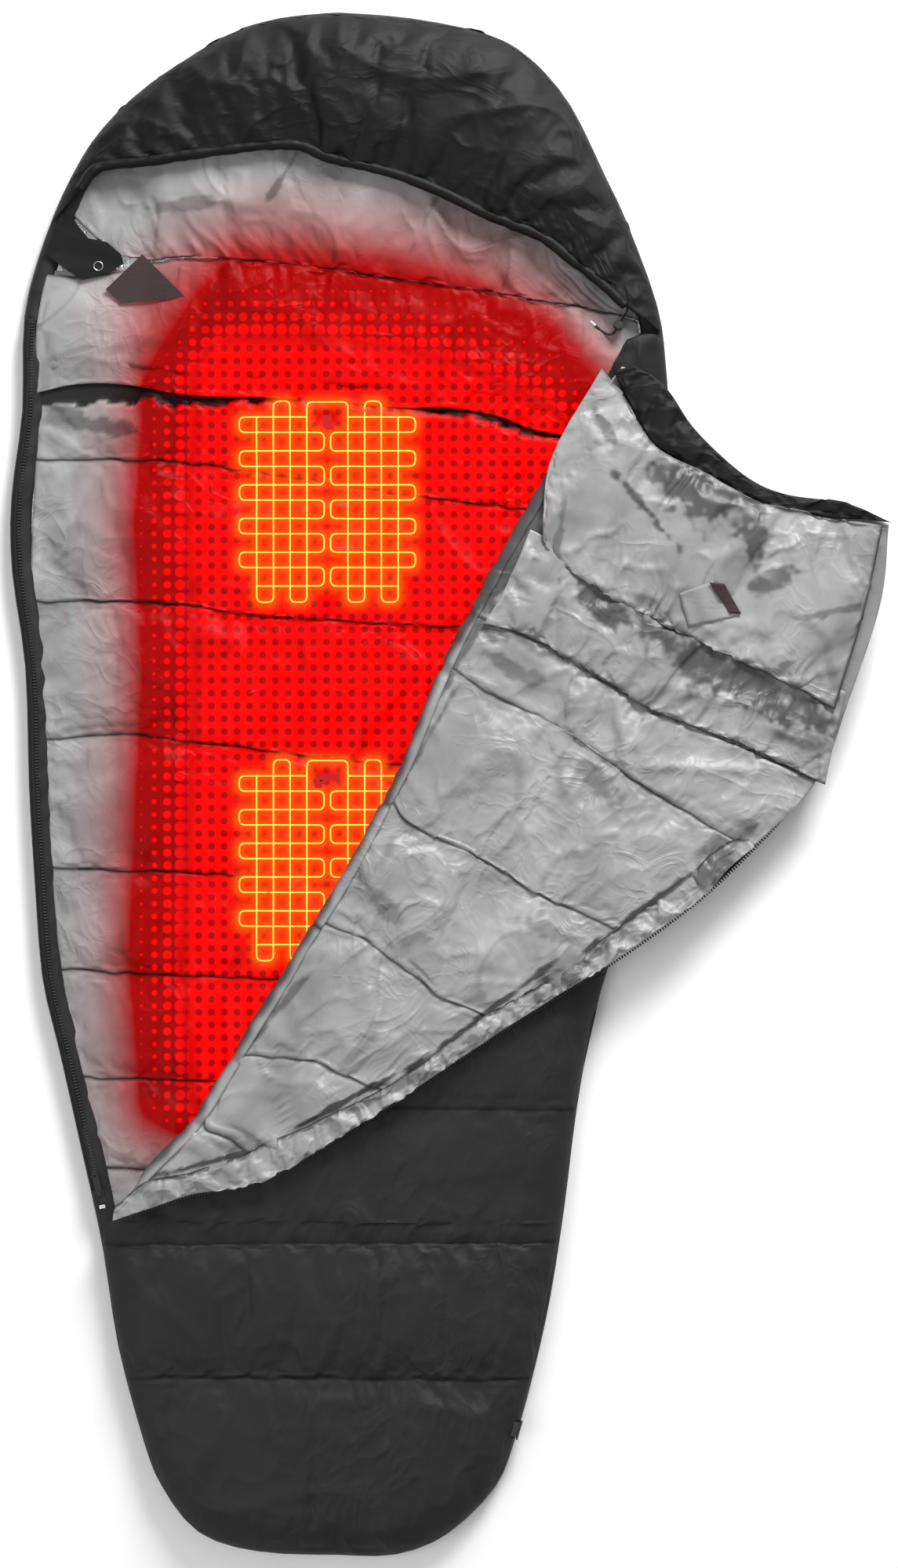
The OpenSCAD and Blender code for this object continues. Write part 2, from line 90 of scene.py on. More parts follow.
def loftCurves(curves, rowsPerSpan, cols, gather=0.35):
    # Rows of points carried from curve to curve by a Catmull-Rom spline; steps shorten near each curve
    c = np.stack([spreadAlong(one, cols) for one in curves])
    c = np.concatenate([2 * c[:1] - c[1:2], c, 2 * c[-1:] - c[-2:-1]])
    rows, marks = [], [0]
    for k in range(len(c) - 3):
        s = np.linspace(0, 1, rowsPerSpan[k], endpoint=False)
        t = (s - gather * np.sin(2 * math.pi * s) / (2 * math.pi))[:, None, None]
        a, b, e, d = c[k:k + 4]
        rows.append(0.5 * (2 * b + (e - a) * t + (2 * a - 5 * b + 4 * e - d) * t ** 2
                           + (3 * b - a - 3 * e + d) * t ** 3))
        marks.append(marks[-1] + rowsPerSpan[k])
    rows.append(c[-2][None])
    return np.concatenate(rows), marks


def gridFaces(rows, cols, start=0, wrap=False):
    # Quads of a grid of points; wrap joins the last column to the first
    i, j = np.meshgrid(np.arange(rows - 1), np.arange(cols if wrap else cols - 1), indexing="ij")
    a, b = i * cols + j, i * cols + (j + 1) % cols
    return (np.stack([a, b, b + cols, a + cols], axis=-1).reshape(-1, 4) + start)


def makePiece(name, points, faces, material, smooth=True):
    # A mesh object at the origin from points and faces of any number of corners
    mesh = bpy.data.meshes.new(name)
    flat = np.asarray(points, float).reshape(-1, 3)
    mesh.from_pydata(flat.tolist(), [], [list(map(int, f)) for f in faces])
    mesh.validate()
    if smooth:
        mesh.polygons.foreach_set("use_smooth", np.ones(len(mesh.polygons), bool))
    mesh.materials.append(material)
    piece = bpy.data.objects.new(name, mesh)
    scene.collection.objects.link(piece)
    return piece


def dress(piece, body, stands):
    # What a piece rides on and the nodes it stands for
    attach(piece, body)
    if stands:
        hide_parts(*stands)
    return piece


def closedPad(name, top, under, material, skip=4):
    # A pad: a fine top grid, a coarser underside that keeps every few of its rows, and walls between them
    rows, cols = top.shape[:2]
    size = rows * cols
    keepRows = np.unique(np.append(np.arange(0, rows, skip), rows - 1))
    keepCols = np.unique(np.append(np.arange(0, cols, skip), cols - 1))
    low = under[np.ix_(keepRows, keepCols)]
    lowRows, lowCols = low.shape[:2]
    fine, lowRing = ringOf(rows, cols), ringOf(lowRows, lowCols)
    coarse = [(keepRows[i], keepCols[j]) for i, j in lowRing]
    coarseIndex = [size + i * lowCols + j for i, j in lowRing]
    at = {place: k for k, place in enumerate(fine)}
    starts = [at[(int(i), int(j))] for i, j in coarse]
    walls = []
    for k, start in enumerate(starts):
        end = starts[(k + 1) % len(starts)] or len(fine)
        upper = [fine[m % len(fine)][0] * cols + fine[m % len(fine)][1] for m in range(start, end + 1)]
        walls.append(upper[::-1] + [coarseIndex[k], coarseIndex[(k + 1) % len(starts)]])
    faces = gridFaces(rows, cols).tolist() + gridFaces(lowRows, lowCols, size)[:, ::-1].tolist() + walls
    points = np.concatenate([top.reshape(-1, 3), low.reshape(-1, 3)])
    if facesDown(top):
        faces = [face[::-1] for face in faces]
    return makePiece(name, points, faces, material)


def ringOf(rows, cols):
    # The places round the edge of a grid, in order
    return ([(0, j) for j in range(cols)] + [(i, cols - 1) for i in range(1, rows)]
            + [(rows - 1, j) for j in range(cols - 2, -1, -1)] + [(i, 0) for i in range(rows - 2, 0, -1)])


def finerGrid(grid):
    # Twice as many rows and columns, the new points on a smooth curve through the old ones
    for axis in (0, 1):
        g = np.moveaxis(grid, axis, 0)
        padded = np.concatenate([2 * g[:1] - g[1:2], g, 2 * g[-1:] - g[-2:-1]])
        middle = (9 * (padded[1:-2] + padded[2:-1]) - padded[:-3] - padded[3:]) / 16
        out = np.empty((2 * len(g) - 1,) + g.shape[1:])
        out[0::2], out[1::2] = g, middle
        grid = np.moveaxis(out, 0, axis)
    return grid


def facesDown(top):
    # Whether the quads of a top grid point down, from the turn between its rows and columns
    a = top[1:, :-1] - top[:-1, :-1]
    b = top[:-1, 1:] - top[:-1, :-1]
    return float(np.cross(b[..., :2], a[..., :2]).sum()) < 0


def setAttribute(piece, name, values):
    # One number for each point of the top; the underside has none
    data = piece.data.attributes.new(name, "FLOAT", "POINT")
    flat = np.zeros(len(piece.data.vertices), np.float32)
    flat[:np.size(values)] = np.ravel(values)
    data.data.foreach_set("value", flat)


def softNoise(points, size, seed):
    # Smooth noise of wavelength size: random values on a square lattice, joined by smoothstep
    lattice = np.random.default_rng(seed).uniform(-1, 1, (256, 256))
    q = np.asarray(points)[..., :2] / size + 64.0
    base = np.floor(q).astype(int)
    f = q - base
    f = f * f * (3 - 2 * f)
    x, y = base[..., 0] % 256, base[..., 1] % 256
    x1, y1 = (x + 1) % 256, (y + 1) % 256
    low = lattice[x, y] * (1 - f[..., 0]) + lattice[x1, y] * f[..., 0]
    high = lattice[x, y1] * (1 - f[..., 0]) + lattice[x1, y1] * f[..., 0]
    return low * (1 - f[..., 1]) + high * f[..., 1]


def creases(points, size, seed):
    # Sharp-crested folds: one minus the size of warped noise
    p = np.asarray(points)[..., :2]
    warp = np.stack([softNoise(p, size * 1.7, seed + 1), softNoise(p, size * 1.7, seed + 2)], axis=-1)
    return 1 - np.abs(softNoise(p + warp * size * 0.6, size, seed))


# Cloth

clothLook = {"frames": 22, "quality": 5, "pressure": 3.0, "grow": 0.05, "bending": 0.06, "mass": 0.2,
             "stretch": 18,
             "shear": 6, "damping": 8, "bendDamping": 0.6, "air": 3, "start": 0.0012}


def settleCloth(name, grid, pins, seed, **given):
    # Cloth cut larger than its place, held at its seams and blown up from below, gives real folds
    rest = grid.copy()
    rows, cols = grid.shape[:2]
    start = rest.copy()
    start[..., 2] += clothLook["start"] * softNoise(grid, 0.03, seed) * (1 - pins)
    faces = gridFaces(rows, cols)
    if facesDown(grid):
        faces = faces[:, ::-1]
    cloth = makePiece(name + "Cloth", start, faces, bpy.data.materials[0])
    group = cloth.vertex_groups.new(name="held")
    flat = pins.ravel()
    for weight in np.unique(flat[flat > 0]):
        group.add(np.nonzero(flat == weight)[0].tolist(), float(weight), "REPLACE")
    solver = cloth.modifiers.new("cloth", "CLOTH")
    s, look = solver.settings, dict(clothLook, **given)
    s.quality = look["quality"]
    s.mass = look["mass"]
    s.tension_stiffness = s.compression_stiffness = look["stretch"]
    s.shear_stiffness = look["shear"]
    s.bending_stiffness = look["bending"]
    s.tension_damping = s.compression_damping = s.shear_damping = look["damping"]
    s.bending_damping = look["bendDamping"]
    s.air_damping = look["air"]
    s.vertex_group_mass = "held"
    s.pin_stiffness = 1
    s.use_pressure = True
    s.uniform_pressure_force = look["pressure"]
    s.shrink_min = s.shrink_max = -look["grow"]
    s.effector_weights.gravity = 0
    solver.collision_settings.use_collision = False
    solver.collision_settings.use_self_collision = False
    solver.point_cache.frame_start, solver.point_cache.frame_end = 1, look["frames"]
    for number in range(1, look["frames"] + 1):
        scene.frame_set(number)
    made = cloth.evaluated_get(bpy.context.evaluated_depsgraph_get()).data
    out = np.empty(len(made.vertices) * 3, np.float32)
    made.vertices.foreach_get("co", out)
    scene.frame_set(1)
    used = cloth.data
    bpy.data.objects.remove(cloth)
    bpy.data.meshes.remove(used)
    print("settled", name, rows * cols, "points")
    return out.reshape(rows, cols, 3).astype(float)


# Shader groups and materials

def newGroup(name, inputs, outputs):
    group = bpy.data.node_groups.new(name, "ShaderNodeTree")
    for label, kind, value in inputs:
        socket = group.interface.new_socket(label, in_out="INPUT", socket_type=kind)
        socket.default_value = value
    for label, kind in outputs:
        group.interface.new_socket(label, in_out="OUTPUT", socket_type=kind)
    return group, group.nodes.new("NodeGroupInput"), group.nodes.new("NodeGroupOutput")


def mathNode(tree, operation, a, b=None, c=None, clamp=False):
    node = tree.nodes.new("ShaderNodeMath")
    node.operation = operation
    node.use_clamp = clamp
    for k, value in enumerate((a, b, c)):
        if value is None:
            continue
        if isinstance(value, (int, float)):
            node.inputs[k].default_value = value
        else:
            tree.links.new(value, node.inputs[k])
    return node.outputs[0]


def times(tree, a, b, clamp=False):
    return mathNode(tree, "MULTIPLY", a, b, clamp=clamp)


def minus(tree, a, b, clamp=False):
    return mathNode(tree, "SUBTRACT", a, b, clamp=clamp)


def makeWeaveGroup():
    # Two crossed sets of threads, raised where they pass over each other
    group, given, out = newGroup("weave", [("Threads", "NodeSocketFloat", 900.0)],
                                 [("Height", "NodeSocketFloat")])
    place = group.nodes.new("ShaderNodeTexCoord")
    waves = []
    for direction in ("X", "Y"):
        wave = group.nodes.new("ShaderNodeTexWave")
        wave.bands_direction = direction
        group.links.new(place.outputs["Object"], wave.inputs["Vector"])
        group.links.new(given.outputs["Threads"], wave.inputs["Scale"])
        waves.append(wave.outputs["Fac"])
    group.links.new(mathNode(group, "MAXIMUM", waves[0], waves[1]), out.inputs["Height"])
    return group


def makeCreaseGroup():
    # Small sharp folds at two sizes: one minus the distance of noise from its middle
    group, given, out = newGroup("creases", [("Scale", "NodeSocketFloat", 18.0),
                                             ("Stretch", "NodeSocketVector", (1.0, 1.0, 1.0))],
                                 [("Height", "NodeSocketFloat")])
    place = group.nodes.new("ShaderNodeTexCoord")
    stretched = group.nodes.new("ShaderNodeVectorMath")
    stretched.operation = "MULTIPLY"
    group.links.new(place.outputs["Object"], stretched.inputs[0])
    group.links.new(given.outputs["Stretch"], stretched.inputs[1])
    parts = []
    for factor, weight in ((1.0, 1.0), (2.7, 0.45)):
        noise = group.nodes.new("ShaderNodeTexNoise")
        noise.inputs["Detail"].default_value = 2.0
        noise.inputs["Distortion"].default_value = 1.4
        group.links.new(stretched.outputs["Vector"], noise.inputs["Vector"])
        group.links.new(times(group, given.outputs["Scale"], factor), noise.inputs["Scale"])
        away = mathNode(group, "ABSOLUTE", minus(group, noise.outputs["Fac"], 0.5))
        crest = mathNode(group, "POWER", minus(group, 1.0, times(group, away, 3.0), clamp=True), 2.0)
        parts.append(times(group, crest, weight))
    # Smooth stretches between the folds
    rest = group.nodes.new("ShaderNodeTexNoise")
    rest.inputs["Detail"].default_value = 1.0
    group.links.new(stretched.outputs["Vector"], rest.inputs["Vector"])
    group.links.new(times(group, given.outputs["Scale"], 0.8), rest.inputs["Scale"])
    crumpled = times(group, minus(group, rest.outputs["Fac"], 0.42), 6.0, clamp=True)
    both = mathNode(group, "ADD", parts[0], parts[1])
    group.links.new(times(group, both, mathNode(group, "MULTIPLY_ADD", crumpled, 0.85, 0.15)),
                    out.inputs["Height"])
    return group


def makeTintGroup():
    # Slow random change of tone over the cloth, and dark stitched lines and painted shade where Seam is 1
    group, given, out = newGroup("tint", [("Colour", "NodeSocketColor", (0.5, 0.5, 0.5, 1)),
                                          ("Change", "NodeSocketFloat", 0.2),
                                          ("Seam", "NodeSocketFloat", 0.0),
                                          ("Depth", "NodeSocketFloat", 0.8)],
                                 [("Colour", "NodeSocketColor")])
    place = group.nodes.new("ShaderNodeTexCoord")
    noise = group.nodes.new("ShaderNodeTexNoise")
    noise.inputs["Scale"].default_value = 6.0
    noise.inputs["Detail"].default_value = 3.0
    noise.inputs["Distortion"].default_value = 1.2
    group.links.new(place.outputs["Object"], noise.inputs["Vector"])
    shade = mathNode(group, "MULTIPLY_ADD", minus(group, noise.outputs["Fac"], 0.5),
                     times(group, given.outputs["Change"], 2.0), 1.0)
    dark = minus(group, 1.0, times(group, given.outputs["Seam"], given.outputs["Depth"]), clamp=True)
    scaled = group.nodes.new("ShaderNodeVectorMath")
    scaled.operation = "SCALE"
    group.links.new(given.outputs["Colour"], scaled.inputs[0])
    group.links.new(times(group, shade, dark), scaled.inputs["Scale"])
    group.links.new(scaled.outputs["Vector"], out.inputs["Colour"])
    return group


def makeDotGroup():
    # Dots on a square lattice; Size is each dot's radius as a share of the pitch
    group, given, out = newGroup("dots", [("Pitch", "NodeSocketFloat", 0.0174),
                                          ("Size", "NodeSocketFloat", 0.3),
                                          ("Shift", "NodeSocketFloat", 0.0)],
                                 [("Mask", "NodeSocketFloat")])
    place = group.nodes.new("ShaderNodeTexCoord")
    split = group.nodes.new("ShaderNodeSeparateXYZ")
    group.links.new(place.outputs["Object"], split.inputs[0])
    squares = []
    for axis in ("X", "Y"):
        cell = mathNode(group, "DIVIDE", mathNode(group, "ADD", split.outputs[axis], 4.0),
                        given.outputs["Pitch"])
        cell = mathNode(group, "FRACT", mathNode(group, "ADD", cell, given.outputs["Shift"]))
        squares.append(mathNode(group, "POWER", mathNode(group, "ABSOLUTE", minus(group, cell, 0.5)), 2.0))
    far = mathNode(group, "SQRT", mathNode(group, "ADD", squares[0], squares[1]))
    inside = times(group, minus(group, given.outputs["Size"], far), 9.0)
    group.links.new(mathNode(group, "ADD", inside, 0.5, clamp=True), out.inputs["Mask"])
    return group


weaveGroup, creaseGroup = makeWeaveGroup(), makeCreaseGroup()
tintGroup, dotGroup = makeTintGroup(), makeDotGroup()


def useGroup(tree, group, **values):
    node = tree.nodes.new("ShaderNodeGroup")
    node.node_tree = group
    for label, value in values.items():
        if hasattr(value, "is_output"):
            tree.links.new(value, node.inputs[label])
        else:
            node.inputs[label].default_value = value
    return node.outputs[0]


def readAttribute(tree, name):
    node = tree.nodes.new("ShaderNodeAttribute")
    node.attribute_name = name
    return node.outputs["Fac"]


def startMaterial(name, look):
    material = bpy.data.materials.new(name)
    material.use_nodes = True
    shader = material.node_tree.nodes["Principled BSDF"]
    shader.inputs["Roughness"].default_value = look.get("roughness", 0.6)
    shader.inputs["Metallic"].default_value = look.get("metallic", 0.0)
    shader.inputs["Specular IOR Level"].default_value = look.get("gloss", 0.3)
    shader.inputs["Sheen Weight"].default_value = look.get("sheen", 0.0)
    shader.inputs["Sheen Roughness"].default_value = 0.4
    return material, material.node_tree, shader


def bumpInto(tree, shader, parts):
    # Adds up heights in metres and bends the shading by them
    total = None
    for height, depth in parts:
        scaled = times(tree, height, depth)
        total = scaled if total is None else mathNode(tree, "ADD", total, scaled)
    bump = tree.nodes.new("ShaderNodeBump")
    bump.inputs["Distance"].default_value = 1.0
    bump.inputs["Strength"].default_value = 1.0
    tree.links.new(total, bump.inputs["Height"])
    tree.links.new(bump.outputs["Normal"], shader.inputs["Normal"])


def makeCloth(name, look):
    # Woven cloth: slow changes of tone, dark seams and painted shade, small creases and threads
    material, tree, shader = startMaterial(name, look)
    tree.links.new(useGroup(tree, tintGroup, Colour=(*look["colour"], 1), Change=look["change"],
                            Seam=readAttribute(tree, "seam"), Depth=look["seamDark"]),
                   shader.inputs["Base Color"])
    bumpInto(tree, shader, [
        (useGroup(tree, creaseGroup, Scale=look["creaseScale"], Stretch=look.get("stretch", (1, 1, 1))),
         look["creaseDepth"]),
        (useGroup(tree, weaveGroup, Threads=look["threads"]), look["threadDepth"])])
    return material


def makePlain(name, look):
    # Moulded or metal parts: fine grain in the surface and in the roughness
    material, tree, shader = startMaterial(name, look)
    tree.links.new(useGroup(tree, tintGroup, Colour=(*look["colour"], 1), Change=look.get("change", 0.1)),
                   shader.inputs["Base Color"])
    bumpInto(tree, shader,
             [(useGroup(tree, creaseGroup, Scale=look.get("grain", 400.0)),
               look.get("grainDepth", 0.00005))])
    return material


clothLooks = {
    "shellCloth": {"colour": (0.0145, 0.0145, 0.0152), "change": 0.35, "seamDark": 0.9, "roughness": 0.58,
                   "gloss": 0.25,
                   "sheen": 0.0, "creaseScale": 7.0, "creaseDepth": 0.0022, "stretch": (1.0, 0.6, 1.0),
                   "threads": 700.0, "threadDepth": 0.00004},
    "hoodCloth": {"colour": (0.0035, 0.0035, 0.0038), "change": 0.4, "seamDark": 0.8, "roughness": 0.55,
                  "gloss": 0.2,
                  "sheen": 0.0, "creaseScale": 6.0, "creaseDepth": 0.0022, "stretch": (0.7, 1.1, 1.0),
                  "threads": 700.0, "threadDepth": 0.00004},
    "liningCloth": {"colour": (0.27, 0.27, 0.272), "change": 0.65, "seamDark": 0.97, "roughness": 0.42,
                    "gloss": 0.5,
                    "sheen": 0.0, "creaseScale": 7.0, "creaseDepth": 0.0028, "threads": 900.0,
                    "threadDepth": 0.00003},
    "zipCloth": {"colour": (0.016, 0.016, 0.017), "change": 0.1, "seamDark": 0.5, "roughness": 0.8,
                 "gloss": 0.2,
                 "sheen": 0.05, "creaseScale": 40.0, "creaseDepth": 0.0003, "threads": 400.0,
                 "threadDepth": 0.00012},
    "hookCloth": {"colour": (0.040, 0.026, 0.026), "change": 0.3, "seamDark": 0.5, "roughness": 0.9,
                  "gloss": 0.2,
                  "sheen": 0.2, "creaseScale": 60.0, "creaseDepth": 0.0004, "threads": 250.0,
                  "threadDepth": 0.0002},
    "loopCloth": {"colour": (0.28, 0.28, 0.285), "change": 0.25, "seamDark": 0.5, "roughness": 0.85,
                  "gloss": 0.2,
                  "sheen": 0.2, "creaseScale": 60.0, "creaseDepth": 0.0004, "threads": 250.0,
                  "threadDepth": 0.0002},
    "fillCloth": {"colour": (0.8, 0.8, 0.78), "change": 0.1, "seamDark": 0.3, "roughness": 0.9,
                  "gloss": 0.2,
                  "sheen": 0.2, "creaseScale": 60.0, "creaseDepth": 0.0006, "threads": 200.0,
                  "threadDepth": 0.0002},
    "cordCloth": {"colour": (0.02, 0.02, 0.02), "change": 0.2, "seamDark": 0.3, "roughness": 0.75,
                  "gloss": 0.3,
                  "sheen": 0.1, "creaseScale": 200.0, "creaseDepth": 0.0002, "threads": 500.0,
                  "threadDepth": 0.0002},
}
plainLooks = {
    "blackPlastic": {"colour": (0.02, 0.02, 0.021), "roughness": 0.45, "gloss": 0.5},
    "blackMetal": {"colour": (0.035, 0.035, 0.038), "roughness": 0.35, "metallic": 0.8, "gloss": 0.5},
    "brightMetal": {"colour": (0.72, 0.73, 0.75), "roughness": 0.22, "metallic": 1.0, "gloss": 0.5},
    "brass": {"colour": (0.72, 0.52, 0.2), "roughness": 0.3, "metallic": 1.0, "gloss": 0.5},
    "cableRubber": {"colour": (0.04, 0.04, 0.042), "roughness": 0.6},
    "infraredFilm": {"colour": (0.2, 0.03, 0.02), "roughness": 0.5},
    "foil": {"colour": (0.75, 0.76, 0.78), "roughness": 0.25, "metallic": 1.0, "grain": 80.0,
             "grainDepth": 0.0006},
    "terminalPlastic": {"colour": (0.42, 0.002, 0.002), "roughness": 0.5},
    "cordEnd": {"colour": (0.6, 0.6, 0.6), "roughness": 0.4},
}
cloths = {name: makeCloth(name, look) for name, look in clothLooks.items()}
plains = {name: makePlain(name, look) for name, look in plainLooks.items()}

glowLook = {"deepRed": 0.22, "redLight": 0.10, "brightLight": 0.66, "orangeLight": 0.85,
            "orangeShare": 0.095,
            "redGain": 1.75, "gloss": 0.07, "pitch": 0.0174, "dotStart": 0.58, "dotGrowth": 1.9,
            "joinStart": 0.80, "joinGrowth": 8.0, "gapSize": 0.27, "gapDark": 0.9}


def makeGlowingLining():
    # Grey lining lit red from the mats: glow is how red, halo how near a wire.
    # Bright dots grow with the glow until they join, and small darker dots are left between them
    look = clothLooks["liningCloth"]
    material, tree, shader = startMaterial("glowingLining", dict(look, gloss=glowLook["gloss"]))
    glow, halo, seam = (readAttribute(tree, n) for n in ("glow", "halo", "seam"))
    grey = useGroup(tree, tintGroup, Colour=(*look["colour"], 1), Change=look["change"], Seam=seam,
                    Depth=0.92)
    size = times(tree, minus(tree, glow, glowLook["dotStart"]), glowLook["dotGrowth"], clamp=True)
    growing = useGroup(tree, dotGroup, Pitch=glowLook["pitch"], Size=size)
    between = useGroup(tree, dotGroup, Pitch=glowLook["pitch"], Size=glowLook["gapSize"], Shift=0.5)
    joined = times(tree, minus(tree, glow, glowLook["joinStart"]), glowLook["joinGrowth"], clamp=True)
    unspotted = minus(tree, 1.0, times(tree, between, glowLook["gapDark"]))
    bright = mathNode(tree, "MAXIMUM", times(tree, growing, minus(tree, 1.0, joined)),
                      times(tree, joined, unspotted))
    # Seams and painted shade also darken the red and dim the light given off
    lit = minus(tree, 1.0, times(tree, seam, 0.97), clamp=True)
    redness = times(tree, glow, glowLook["redGain"], clamp=True)
    base = tree.nodes.new("ShaderNodeMix")
    base.data_type = "RGBA"
    tree.links.new(redness, base.inputs["Factor"])
    tree.links.new(grey, base.inputs["A"])
    redPart = tree.nodes.new("ShaderNodeCombineXYZ")
    tree.links.new(times(tree, lit, glowLook["deepRed"]), redPart.inputs["X"])
    tree.links.new(redPart.outputs[0], base.inputs["B"])
    tree.links.new(base.outputs["Result"], shader.inputs["Base Color"])
    # Light given off: a little red wherever it glows, more in the bright dots, orange beside the wires
    soft = times(tree, redness, glowLook["redLight"])
    strong = mathNode(tree, "MULTIPLY_ADD", bright, glowLook["brightLight"], soft)
    give = tree.nodes.new("ShaderNodeCombineXYZ")
    tree.links.new(mathNode(tree, "MULTIPLY_ADD", halo, glowLook["orangeLight"], times(tree, strong, lit)),
                   give.inputs["X"])
    tree.links.new(times(tree, halo, glowLook["orangeShare"]), give.inputs["Y"])
    tree.links.new(give.outputs[0], shader.inputs["Emission Color"])
    shader.inputs["Emission Strength"].default_value = 1.0
    bumpInto(tree, shader, [
        (useGroup(tree, creaseGroup, Scale=look["creaseScale"]), look["creaseDepth"]),
        (useGroup(tree, weaveGroup, Threads=look["threads"]), look["threadDepth"])])
    return material


wireLook = {"colour": (0.6, 0.28, 0.03, 1), "light": (1.0, 0.62, 0.09, 1), "strength": 0.9,
            "roughness": 0.5}


def makeWireMaterial():
    # Wire that glows yellow
    material, tree, shader = startMaterial("glowingWire", wireLook)
    tree.links.new(useGroup(tree, tintGroup, Colour=wireLook["colour"], Change=0.05),
                   shader.inputs["Base Color"])
    shader.inputs["Emission Color"].default_value = wireLook["light"]
    shader.inputs["Emission Strength"].default_value = wireLook["strength"]
    return material


glowingLining, glowingWire = makeGlowingLining(), makeWireMaterial()
print("materials made")


# The outline, from the CAD model's back shell

shellMesh = nodes["back_shell"].data
shellPoints = np.array([v.co[:] for v in shellMesh.vertices])
shellPoints = np.unique(np.round(shellPoints[:, :2], 5), axis=0)
order = np.argsort(np.arctan2(shellPoints[:, 1], shellPoints[:, 0] * 2.2))
outline = shellPoints[order]
leftPoints = shellPoints[shellPoints[:, 0] <= 0]
rightPoints = shellPoints[shellPoints[:, 0] >= 0]
leftPoints = leftPoints[np.argsort(leftPoints[:, 1])]
rightPoints = rightPoints[np.argsort(rightPoints[:, 1])]


def leftX(y, inset=0.0):
    return float(np.interp(y, leftPoints[:, 1], leftPoints[:, 0])) + inset


def rightX(y, inset=0.0):
    return float(np.interp(y, rightPoints[:, 1], rightPoints[:, 0])) - inset


# The fold of the front panel: its height, the way along it and the way to its right
foldJoint = next(j for j in frame["record"]["behaviour"]["joints"] if j["name"] == "flap_fold")
foldHeight = foldJoint["pos_m"][2]
foldAlong = -np.array(foldJoint["axis"][:2])
foldAlong = foldAlong / np.linalg.norm(foldAlong)
foldRight = np.array([foldAlong[1], -foldAlong[0]])


puckerLook = {"height": 0.0040, "width": 0.017, "reach": 0.034, "fold": 0.0060, "foldSize": 0.085,
              "seamClear": 0.005, "slackClear": 0.03, "lean": 0.5}
quiltLook = {"puff": 0.55, "fullAt": 96, "full": 0.9, "wander": 0.0022, "wanderSize": 0.018,
             "backUp": 0.0012}


def bayShare(marks, rows):
    # How far each row is through its bay, from 0 at one seam to 1 at the next
    share = np.zeros(rows)
    for a, b in zip(marks[:-1], marks[1:]):
        share[a:b] = np.arange(b - a) / (b - a)
    return share


def seamGap(grid, seamRows):
    # Distance of every point from the nearest seam, measured along its own column
    gap = np.full(grid.shape[:2], 1.0)
    for r in seamRows:
        gap = np.minimum(gap, np.linalg.norm(grid[..., :2] - grid[r][None, :, :2], axis=2))
    return gap


def seamValues(grid, seamRows, reach=0.0026):
    # 1 on a seam, falling away over a few millimetres
    return np.exp(-(seamGap(grid, seamRows) / reach) ** 2)


def puckers(grid, seamRows, seed, height=1.0):
    # Folds that run out square from the seams and die away, over long slack folds; zero on the seams
    look = puckerLook
    step = np.linalg.norm(np.diff(grid[..., :2], axis=1), axis=2)
    along = np.concatenate([np.zeros((len(grid), 1)), np.cumsum(step, axis=1)], axis=1)
    gap = seamGap(grid, seamRows)
    lean = softNoise(grid, 0.11, seed) * look["lean"]
    ridgePlace = np.stack([along + lean * gap,
                           gap * 0.22 + 0.31 * np.cumsum(np.isin(np.arange(len(grid)), seamRows))[:,
                               None]], axis=-1)
    ridge = creases(ridgePlace, look["width"], seed + 11) - 0.55
    near = np.exp(-gap / look["reach"]) * (1 - np.exp(-(gap / look["seamClear"]) ** 2))
    strength = 0.55 + 0.45 * softNoise(grid, 0.13, seed + 3)
    slack = creases(grid, look["foldSize"], seed + 21) ** 3 - 0.25
    slackPlace = 1 - np.exp(-(gap / look["slackClear"]) ** 2)
    small = creases(grid, look["foldSize"] * 0.42, seed + 31) ** 4 - 0.2
    return height * (look["height"] * ridge * near * strength * 2.2
                     + (look["fold"] * slack + 0.35 * look["fold"] * small) * slackPlace)


def softLimit(rise, span):
    # Heights up to seven tenths of the span stay, higher ones are squeezed into the rest
    share = rise / span
    return span * np.where(share > 0.7, 0.7 + 0.3 * np.tanh((share - 0.7) / 0.3),
                           np.where(share > 0, share, 0.5 * share))


def pressNear(grid, centre, reach, limit):
    # Cloth pressed down to a height round a fitting that lies on it
    away = np.linalg.norm(grid[..., :2] - np.array(centre), axis=2)
    press = smoothStep(1.6 - away / reach)
    out = grid.copy()
    out[..., 2] = grid[..., 2] * (1 - press) + np.minimum(grid[..., 2], limit) * press
    return out


